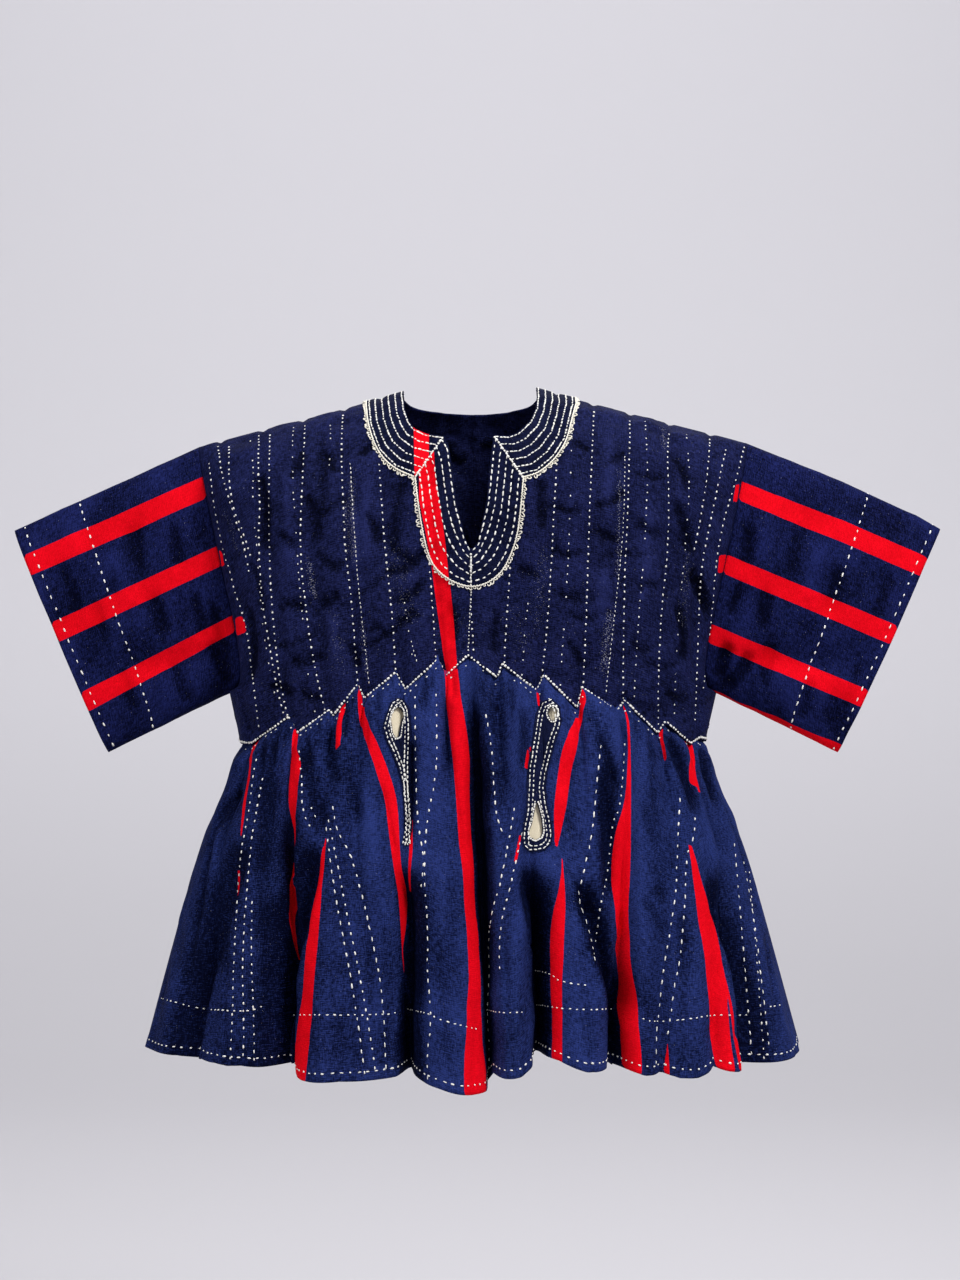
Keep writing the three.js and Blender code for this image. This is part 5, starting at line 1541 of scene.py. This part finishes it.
LINE = {"pitch": 4.6, "length": 4.3, "width": 1.5, "height": 0.9}
PLACKET_DASH = {"pitch": 7.2, "length": 5.2, "width": 1.5, "height": 0.9}
THICK_LINE = {"pitch": 3.6, "length": 3.9, "width": 2.2, "height": 1.4}
FINE = {"pitch": 3.9, "length": 2.0, "width": 1.4, "height": 0.8}
collars = [
    (PX_NECKLINE[:6], PX_COLLAR_LEFT),
    (PX_NECKLINE[13:], PX_COLLAR_RIGHT[::-1]),
]
for left, (inner, outer) in zip((True, False), collars):
    for share in COLLAR_ROWS:
        row = to_ridge(band.cast(between(inner, outer, share)), start=left, end=not left)
        stitches("stitches_band", band, row, **LINE)
plackets = [(PX_NECKLINE[5:10], PX_PLACKET[:7]), (PX_NECKLINE[13:8:-1], PX_PLACKET[:5:-1])]
for inner, outer in plackets:
    for share in PLACKET_ROWS:
        px_stitches("stitches_band", band, between(inner, outer, share), **PLACKET_DASH)
for path in ([(443, 437), (415, 477)], [(494, 436), (523, 477)]):
    px_stitches("stitches_band", band, resample(path, 2), **THICK_LINE)
px_stitches("stitches_band", band, resample([(471, 553), (471, 587)], 2), **THICK_LINE)
px_stitches("stitches_bodice_front", front, resample([(471, 590), (468, 653)], 3), **FINE)

back_patch = neck_patch[BACK]
hole_line, band_line = neck_hole[BACK][1:-1], band_edge[BACK][1:-1]
for share in COLLAR_ROWS:
    row = between(hole_line, band_line, share, 90)
    row = to_ridge(at_plane(back_patch, BACK, row), start=True, end=True)
    stitches("stitches_band", back_patch, row, **LINE)

# Crocheted edge: a cord along the band's outer edge with a row of small loops
LOOP_PITCH, LOOP_OUT, LOOP_HALF = 4.6, 3.6, 1.7
CORD_RADIUS, LOOP_RADIUS = 0.8, 0.62
CORD_STEP, CORD_RISE, CORD_SWING, CORD_TURNS = 1.6, 0.2, 0.4, 2.1
loops, cords = [], []
edges = [
    (band, to_ridge(band.cast(resample(rounded(PX_COLLAR_LEFT, 2), 2)), start=True)),
    (band, band.cast(resample(rounded(PX_PLACKET, 1), 2))),
    (band, to_ridge(band.cast(resample(rounded(PX_COLLAR_RIGHT[::-1], 2), 2)), end=True)),
    (back_patch, to_ridge(at_plane(back_patch, BACK, resample(band_line, 2)[::-1]), start=True, end=True)),
]
for surface, rc in edges:
    rc = found(rc)
    p, n = surface.at(rc), unit(surface.at(rc, surface.normals))
    along = along_path(p)
    spot = lambda x, field: np.array([np.interp(x, along, field[:, k]) for k in range(3)])
    ahead = unit(np.gradient(p, axis=0))
    # Away from the middle of the band
    outward = unit(np.cross(ahead, n))
    if (outward * (p - np.array([NECK_X, p[:, 1].mean(), -60]))).sum() < 0:
        outward = -outward
    twist = lambda x: CORD_RISE * spot(x, n) + CORD_SWING * math.sin(x * CORD_TURNS) * spot(x, outward)
    cords.append(np.stack([spot(x, p) + twist(x) for x in np.arange(0, along[-1], CORD_STEP)]))
    for x in np.arange(LOOP_PITCH / 2, along[-1], LOOP_PITCH):
        x = x + rng.uniform(-1.1, 1.1)
        o, t, up = spot(x, p), unit(spot(x, ahead)), unit(spot(x, n))
        w = unit(spot(x, outward))
        a = np.linspace(-0.15 * np.pi, 1.15 * np.pi, 9)
        out, half = LOOP_OUT * rng.uniform(0.55, 1.35), LOOP_HALF * rng.uniform(0.6, 1.25)
        swing = rng.uniform(-1.4, 1.4)
        loops.append(
            o
            + t * (half * np.cos(a) + swing * np.sin(a))[:, None]
            + w * (0.5 * out + 0.5 * out * np.sin(a))[:, None]
            + up * (-0.8 + 0.9 * np.sin(a) * rng.uniform(0.5, 1.2))[:, None]
        )
trim_paths = [(path, CORD_RADIUS) for path in cords] + [(path, LOOP_RADIUS) for path in loops]

# ---- pockets ----
PX_POCKETS = {
    "left": {
        "outline": [
            (398, 697.5), (391, 702), (385.5, 716), (382.6, 727), (386, 739), (392, 752), (398, 767),
            (402, 784.5), (404, 804), (405.2, 823), (404, 840), (406.5, 847), (408.6, 842), (411, 830),
            (411, 811), (409.5, 792), (409.4, 765), (410.5, 725), (408.5, 708), (404, 700),
        ],
        "slits": [
            [(398, 707), (392.5, 712), (391, 719), (393, 733), (396, 738), (399.5, 736), (401, 727),
             (404, 714), (402, 709)],
        ],
    },
    "right": {
        "outline": [
            (551, 697.5), (541, 702), (537, 712), (534.5, 727), (531, 750), (528, 769), (527, 792),
            (526, 811), (523, 827), (522, 836), (523, 846), (528, 851.5), (535.5, 852), (545, 850),
            (551, 844), (553, 834), (551, 819), (547, 804), (545, 788), (547, 773), (551, 758),
            (555, 742), (560, 729), (562, 721), (560, 706),
        ],
        "slits": [
            [(552, 706.5), (549, 709), (548, 714), (551, 720.5), (554, 721), (556.5, 717), (557, 711),
             (555, 707)],
            [(536.5, 801), (534, 815), (532, 824), (529, 832), (530, 837), (535.5, 840), (541, 837),
             (543, 831), (542, 821), (539, 808)],
        ],
    },
}  # fmt: skip
FACING_WALL, FACING_GAP = 1.3, 0.5
FACING_STEP, LINING_STEP = 0.35, 1.0  # of their grids, in the skirt's rows and columns
POCKET_MARGIN = 5  # rows and columns round a facing's outline
SLIT_EASE = 0.6  # the skirt behind a facing's slit is open less far, by this much
LINING_MARGIN, LINING_WALL, LINING_SUNK = 8, 1.0, 2.6
ROWS_IN = {"left": (2.0, 5.2), "right": (2.2, 6.0)}  # rows of stitches inside a facing's edge
SLIT_OUT = 1.2  # a row round each slit
FACING_ROW = {"pitch": 5.0, "length": 3.8, "width": 1.3, "height": 0.8}
SLIT_ROW = {"pitch": 2.7, "length": 2.8, "width": 1.7, "height": 1.2}


def inset(outline, away):
    """An outline moved in by a distance, as an open path round it."""
    path = resample(np.concatenate([outline, outline[:1]]), 1.5)
    area = 0.5 * (path[:-1, 0] * path[1:, 1] - path[1:, 0] * path[:-1, 1]).sum()
    ahead = unit(np.gradient(path, axis=0))
    inward = np.stack([-ahead[:, 1], ahead[:, 0]], 1) * np.sign(area)
    return path + inward * away


skirt_slits, facings, linings = [], {}, {}
for name, pocket in PX_POCKETS.items():
    good = found(skirt[FRONT].cast(pocket["outline"]))
    first, end = np.maximum(good.min(0) - POCKET_MARGIN, 0), good.max(0) + POCKET_MARGIN
    grids = [[np.arange(a, b, step) for a, b in zip(first, end)] for step in (FACING_STEP, LINING_STEP)]
    patch = Patch(skirt[FRONT], *grids[0], FACING_GAP + FACING_WALL)
    slits = [to_plane(patch, slit) for slit in pocket["slits"]]
    facings[name] = (patch, to_plane(patch, pocket["outline"]), slits)
    skirt_slits += slits
    linings[name] = (Patch(skirt[FRONT], *grids[1], -LINING_SUNK), slits)
    for away in ROWS_IN[name]:
        px_stitches("stitches_pockets", patch, inset(np.array(pocket["outline"], float), away), **FACING_ROW)
    for slit in pocket["slits"]:
        px_stitches("stitches_pockets", patch, inset(np.array(slit, float), -SLIT_OUT), **SLIT_ROW)


# ---- materials ----
def set_input(node, name, value):
    node.inputs[name].default_value = value


class Shader:
    """A small helper that adds nodes to a material and links them."""

    def __init__(self, name):
        self.material = bpy.data.materials.new(name)
        self.material.use_nodes = True
        self.tree = self.material.node_tree
        self.tree.nodes.clear()
        self.out = self.add("ShaderNodeOutputMaterial")
        self.main = self.add("ShaderNodeBsdfPrincipled")
        self.link(self.main.outputs[0], self.out.inputs["Surface"])

    def add(self, kind, **values):
        node = self.tree.nodes.new(kind)
        for key, value in values.items():
            setattr(node, key, value)
        return node

    def link(self, a, b):
        self.tree.links.new(a, b)

    def attribute(self, name):
        return self.add("ShaderNodeAttribute", attribute_name=name).outputs["Fac"]

    def feed(self, node, values):
        """Numbers or outputs into the first inputs of a node."""
        for socket, value in zip(node.inputs, values):
            if isinstance(value, (int, float)):
                socket.default_value = value
            else:
                self.link(value, socket)
        return node.outputs[0]

    def math(self, operation, a, b):
        return self.feed(self.add("ShaderNodeMath", operation=operation), (a, b))

    def times(self, value, factor):
        return self.math("MULTIPLY", value, factor)

    def total(self, *parts):
        """Sum of outputs, each times its weight."""
        out = self.times(*parts[0])
        for part in parts[1:]:
            out = self.math("ADD", out, self.times(*part))
        return out

    def centred(self, value, low, high):
        """A ramp from -0.5 to 0.5."""
        return self.math("SUBTRACT", self.ramp(value, low, high), 0.5)

    def vector(self, x, y):
        return self.feed(self.add("ShaderNodeCombineXYZ"), (x, y))

    def noise(self, vector, scale, detail=2.0, rough=0.5):
        node = self.add("ShaderNodeTexNoise")
        set_input(node, "Scale", scale)
        set_input(node, "Detail", detail)
        set_input(node, "Roughness", rough)
        self.link(vector, node.inputs["Vector"])
        return node.outputs["Fac"]

    def ramp(self, value, low, high):
        """0 below low, 1 above high, smooth between."""
        node = self.add("ShaderNodeMapRange", interpolation_type="SMOOTHSTEP")
        self.link(value, node.inputs["Value"])
        set_input(node, "From Min", low)
        set_input(node, "From Max", high)
        return node.outputs[0]

    def mix_colour(self, share, a, b):
        node = self.add("ShaderNodeMix", data_type="RGBA")
        for socket, value in ((node.inputs[0], share), (node.inputs[6], a), (node.inputs[7], b)):
            if isinstance(value, (int, float)):
                socket.default_value = value
            elif isinstance(value, tuple):
                socket.default_value = (*value, 1)
            else:
                self.link(value, socket)
        return node.outputs[2]

    def bump(self, height, strength, distance):
        node = self.add("ShaderNodeBump")
        set_input(node, "Strength", strength)
        set_input(node, "Distance", distance)
        self.link(height, node.inputs["Height"])
        self.link(node.outputs[0], self.main.inputs["Normal"])


NAVY = {  # dark and lit thread, the ends of each cloth's tone; the weave, the noise and the painted shading move the colour between them
    "bodice": ((0.0005, 0.0009, 0.0065), (0.0150, 0.0200, 0.0920)),
    "sleeve": ((0.0005, 0.0009, 0.0080), (0.0115, 0.0170, 0.0980)),
    "skirt": ((0.0007, 0.0017, 0.0125), (0.0215, 0.0375, 0.1700)),
}
# Dark and lit ends of the red and of the band, between which the painted shading also moves them
RED_DARK, RED_LIT = (0.60, 0.0012, 0.006), (0.84, 0.0020, 0.012)
BAND_DARK, BAND_LIT = (0.0008, 0.0012, 0.0070), (0.0090, 0.0125, 0.0480)
WORN_WHITE = (0.42, 0.42, 0.50)
RIB_PITCH = 1.9  # between the weft ribs of the cloth, in millimetres
WARP_PITCH = 1.3
CRINKLE = 7.0  # size of the finest crinkles


def woven(name, dark, lit, red=True):
    """Handwoven cotton: weft ribs, warp grain, crinkles and worn flecks, with painted shade in creases and
    painted light on ridges, red where the field is over 0.
    """
    s = Shader(name)
    u, v = s.attribute("cloth_u"), s.attribute("cloth_v")
    place = s.vector(u, v)
    drift = s.noise(place, 0.09, 2.0)
    rib = s.math("PINGPONG", s.math("ADD", s.math("DIVIDE", v, RIB_PITCH), s.times(drift, 1.6)), 0.5)
    warp = s.math("PINGPONG", s.math("ADD", s.math("DIVIDE", u, WARP_PITCH), drift), 0.5)
    fibres = s.noise(s.vector(u, s.times(v, 1.25)), 0.62, 3.0, 0.65)
    weft_slub = s.noise(s.vector(s.times(u, 0.16), s.times(v, 0.75)), 1.0, 2.0, 0.6)
    warp_slub = s.noise(s.vector(s.times(u, 0.75), s.times(v, 0.13)), 1.0, 2.0, 0.6)
    crinkle = s.noise(s.vector(s.times(u, 0.8), v), 1 / CRINKLE, 3.0, 0.55)
    cloud = s.noise(place, 0.022, 2.0, 0.5)
    tone = s.total(
        (rib, 0.30),
        (warp, 0.22),
        (s.ramp(fibres, 0.36, 0.66), 0.12),
        (s.ramp(weft_slub, 0.40, 0.62), 0.26),
        (s.ramp(warp_slub, 0.42, 0.60), 0.20),
        # The crinkles' height is also painted into the tone: painted shade in their hollows, painted light
        # on their tops
        (s.centred(crinkle, 0.25, 0.75), 0.08),
        (s.centred(cloud, 0.30, 0.70), 0.12),
        # Painted shading: darker in troughs, lighter on ridges, from the displacement of the creases and
        # lumps
        (s.attribute("painted_shading_and_tone"), 0.30),
    )
    tone = s.ramp(tone, 0.02, 0.86)
    colour = s.mix_colour(tone, dark, lit)
    speck = s.noise(s.vector(s.times(u, 0.8), s.times(v, 1.2)), 0.75, 1.0)
    fleck = s.ramp(s.math("ADD", speck, s.times(s.attribute("worn"), 0.20)), 0.735, 0.82)
    colour = s.mix_colour(s.times(fleck, 0.55), colour, WORN_WHITE)
    if red:
        edge = s.math("ADD", s.attribute("red"), s.times(s.math("SUBTRACT", fibres, 0.5), 0.9))
        colour = s.mix_colour(s.ramp(edge, -0.15, 0.15), colour, s.mix_colour(tone, RED_DARK, RED_LIT))
    s.link(colour, s.main.inputs["Base Color"])
    set_input(s.main, "Roughness", 0.82)
    set_input(s.main, "Specular IOR Level", 0.03)
    s.bump(s.total((rib, 0.45), (warp, 0.2), (fibres, 0.5), (crinkle, 1.3)), 0.6, 0.0009)
    return s.material


def plain(name, dark, lit, scale):
    """A plain fibrous finish in the object's own space, in metres."""
    s = Shader(name)
    fibres = s.noise(s.add("ShaderNodeTexCoord").outputs["Object"], scale, 3.0, 0.6)
    s.link(s.mix_colour(fibres, dark, lit), s.main.inputs["Base Color"])
    set_input(s.main, "Roughness", 0.85)
    set_input(s.main, "Specular IOR Level", 0.2)
    set_input(s.main, "Sheen Weight", 0.1)
    s.bump(fibres, 0.4, 0.0004)
    return s.material


cloth = {part: woven(part + "_cloth", *pair) for part, pair in NAVY.items()}
band_cloth = woven("neck_band", BAND_DARK, BAND_LIT)
facing_cloth = woven("pocket_facing", BAND_DARK, BAND_LIT, red=False)
lining_cloth = plain("pocket_lining", (0.70, 0.60, 0.42), (0.86, 0.78, 0.60), 900)
thread_white = plain("thread", (0.74, 0.72, 0.67), (0.93, 0.92, 0.88), 1500)
crochet_cream = plain("crochet", (0.70, 0.65, 0.55), (0.92, 0.89, 0.80), 1500)

# ---- objects ----
CLOTH_WALL = 1.6
FIELDS = {"cloth_u": "warp", "cloth_v": "weft", "red": "red", "worn": "worn", "painted_shading_and_tone": "painted_shading_and_tone"}
pieces = {}  # by the CAD node that each stands for


def add_piece(node, surface, material, wall, field=None):
    """A thin wall on a surface, cut to where field is positive. The surface is its outer face."""
    faces, points = surface.quads(), surface.points.reshape(-1, 3)
    attributes = {key: getattr(surface, kept).ravel() for key, kept in FIELDS.items()}
    if field is not None:
        points, faces, attributes = clip(points, faces, field.ravel(), attributes)
    made = new_mesh("cloth_" + node, points, faces, material, attributes)
    middle = surface.rows // 2, surface.columns // 3
    place = Vector(surface.points[middle] * MM)
    nearest = min(made.data.polygons, key=lambda face: (face.center - place).length)
    if nearest.normal.dot(Vector(surface.normals[middle])) < 0:
        made.data.flip_normals()
    pieces[node] = thicken(made, wall)


def tucked(surface):
    """The skirt with two more rows above, sewn in under the bodice's edge."""
    top, n = surface.points[0], surface.normals[0]
    rows = [top - n * away + np.array([0, 0, up]) for away, up in ((3.4, 7.0), (2.2, 2.5))]
    made = Surface(np.concatenate([np.stack(rows), surface.points]), surface.sign)
    for key in ("warp", "weft", "red", "worn", "painted_shading_and_tone"):
        field = getattr(surface, key)
        setattr(made, key, np.concatenate([field[:1], field[:1], field]))
    return made


for side, where in SIDES.items():
    s, patch = bodice[side], neck_patch[side]
    add_piece("bodice_" + where, s, cloth["bodice"], CLOTH_WALL, -s.inside(neck_hole[side]))
    if side == FRONT:
        px = to_px(patch.points)
        patch.red = np.maximum.reduce([outline_field(px[..., 0], px[..., 1], o) for o in PX_BAND_RED])
    else:
        patch.red[:] = -RED_REACH
    field = np.minimum(patch.inside(band_edge[side]), -patch.inside(neck_hole[side]))
    add_piece("neck_band_" + where, patch, band_cloth, BAND_WALL, field)
    s = tucked(skirt[side])
    field = None
    if side == FRONT:
        field = np.minimum.reduce([-s.inside(o) for o in skirt_slits]) - SLIT_EASE
    add_piece("skirt_" + where, s, cloth["skirt"], CLOTH_WALL, field)
for name, s in sleeve.items():
    add_piece("sleeve_" + name, s, cloth["sleeve"], CLOTH_WALL)
for name, (patch, outline, slits) in facings.items():
    field = np.minimum.reduce([patch.inside(outline)] + [-patch.inside(o) for o in slits])
    add_piece("pocket_facing_" + name, patch, facing_cloth, FACING_WALL, field)
for name, (patch, slits) in linings.items():
    field = np.maximum.reduce([patch.inside(o) for o in slits]) + LINING_MARGIN
    add_piece("pocket_lining_" + name, patch, lining_cloth, LINING_WALL, field)

stitch_objects = build_threads(thread_white)
trim = new_mesh("band_trim", *tubes(trim_paths), crochet_cream)

for node, made in pieces.items():
    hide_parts(node)
for made in [*pieces.values(), *stitch_objects.values(), trim]:
    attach(made, "root")

# ---- stage, light and camera ----
FLOOR_Z = -1.35
BACKDROP_Y = 6.5
STAGE_HALF, WALL_HEIGHT = 9.0, 9
SWEEP = 3.0


def backdrop():
    """A floor that turns up into a wall behind the smock."""
    angle = np.linspace(0, np.pi / 2, 14)
    y = np.concatenate([[-STAGE_HALF], BACKDROP_Y - SWEEP + SWEEP * np.sin(angle), [BACKDROP_Y]])
    z = np.concatenate([[FLOOR_Z], FLOOR_Z + SWEEP - SWEEP * np.cos(angle), [FLOOR_Z + WALL_HEIGHT]])
    points = np.array([(x, b, c) for b, c in zip(y, z) for x in (-STAGE_HALF, STAGE_HALF)])
    faces = [(2 * i, 2 * i + 1, 2 * i + 3, 2 * i + 2) for i in range(len(y) - 1)]
    s = Shader("studio_floor")
    place = s.add("ShaderNodeTexCoord").outputs["Object"]
    up = s.add("ShaderNodeSeparateXYZ")
    s.link(place, up.inputs[0])
    share = s.ramp(up.outputs["Z"], FLOOR_Z - 0.4, FLOOR_Z + 1.3)
    share = s.math("ADD", share, s.times(s.noise(place, 3, 2.0), 0.02))
    s.link(s.mix_colour(share, (0.56, 0.55, 0.58), (0.71, 0.70, 0.74)), s.main.inputs["Base Color"])
    set_input(s.main, "Roughness", 0.9)
    return new_mesh("floor", points / MM, faces, s.material)


floor = backdrop()
floor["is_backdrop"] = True


# Name, place, target, width and height, and power of each light
LIGHTS = [
    ("key", (1.5, -2.0, 2.0), (0, 0, -0.35), (0.9, 0.9), 100),
    ("fill", (-2.6, -2.0, 0.5), (0, 0, -0.35), (1.2, 1.6), 34),
    ("top", (0.0, -0.3, 2.3), (0, 0, -0.3), (2.2, 1.2), 30),
    ("rear", (0.4, 1.9, 1.6), (0, 0, -0.3), (2.4, 1.2), 30),
    ("wall", (0.0, 2.6, 3.2), (0, 6.5, 0.2), (7.0, 2.0), 138),
    ("floor", (0.0, 2.6, 3.2), (0, 2.0, -1.35), (7.0, 3.0), 4),
]
for name, place, target, size, power in LIGHTS:
    data = bpy.data.lights.new(name, "AREA")
    data.shape, data.size, data.size_y = "RECTANGLE", *size
    data.energy = power
    light = bpy.data.objects.new(name, data)
    light.location = place
    light.rotation_mode = "QUATERNION"
    light.rotation_quaternion = (Vector(target) - Vector(place)).to_track_quat("-Z", "Y")
    bpy.context.scene.collection.objects.link(light)


world = bpy.data.worlds.new("studio")
bpy.context.scene.world = world
world.use_nodes = True
background = world.node_tree.nodes["Background"]
background.inputs["Color"].default_value = (0.80, 0.79, 0.83, 1)
background.inputs["Strength"].default_value = 0.36

camera_data = bpy.data.cameras.new("camera")
camera_data.sensor_width = SENSOR
camera_data.lens = SENSOR * FAR / (PX_LONG_SIDE * MM_PER_PX)
camera_data.clip_start, camera_data.clip_end = 0.1, 60
camera = bpy.data.objects.new("camera", camera_data)
camera.location = Vector(CAMERA) * MM
camera.rotation_euler = (math.pi / 2, 0, 0)
bpy.context.scene.collection.objects.link(camera)
bpy.context.scene.camera = camera
bpy.context.scene.view_settings.view_transform = "Standard"

low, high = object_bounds()
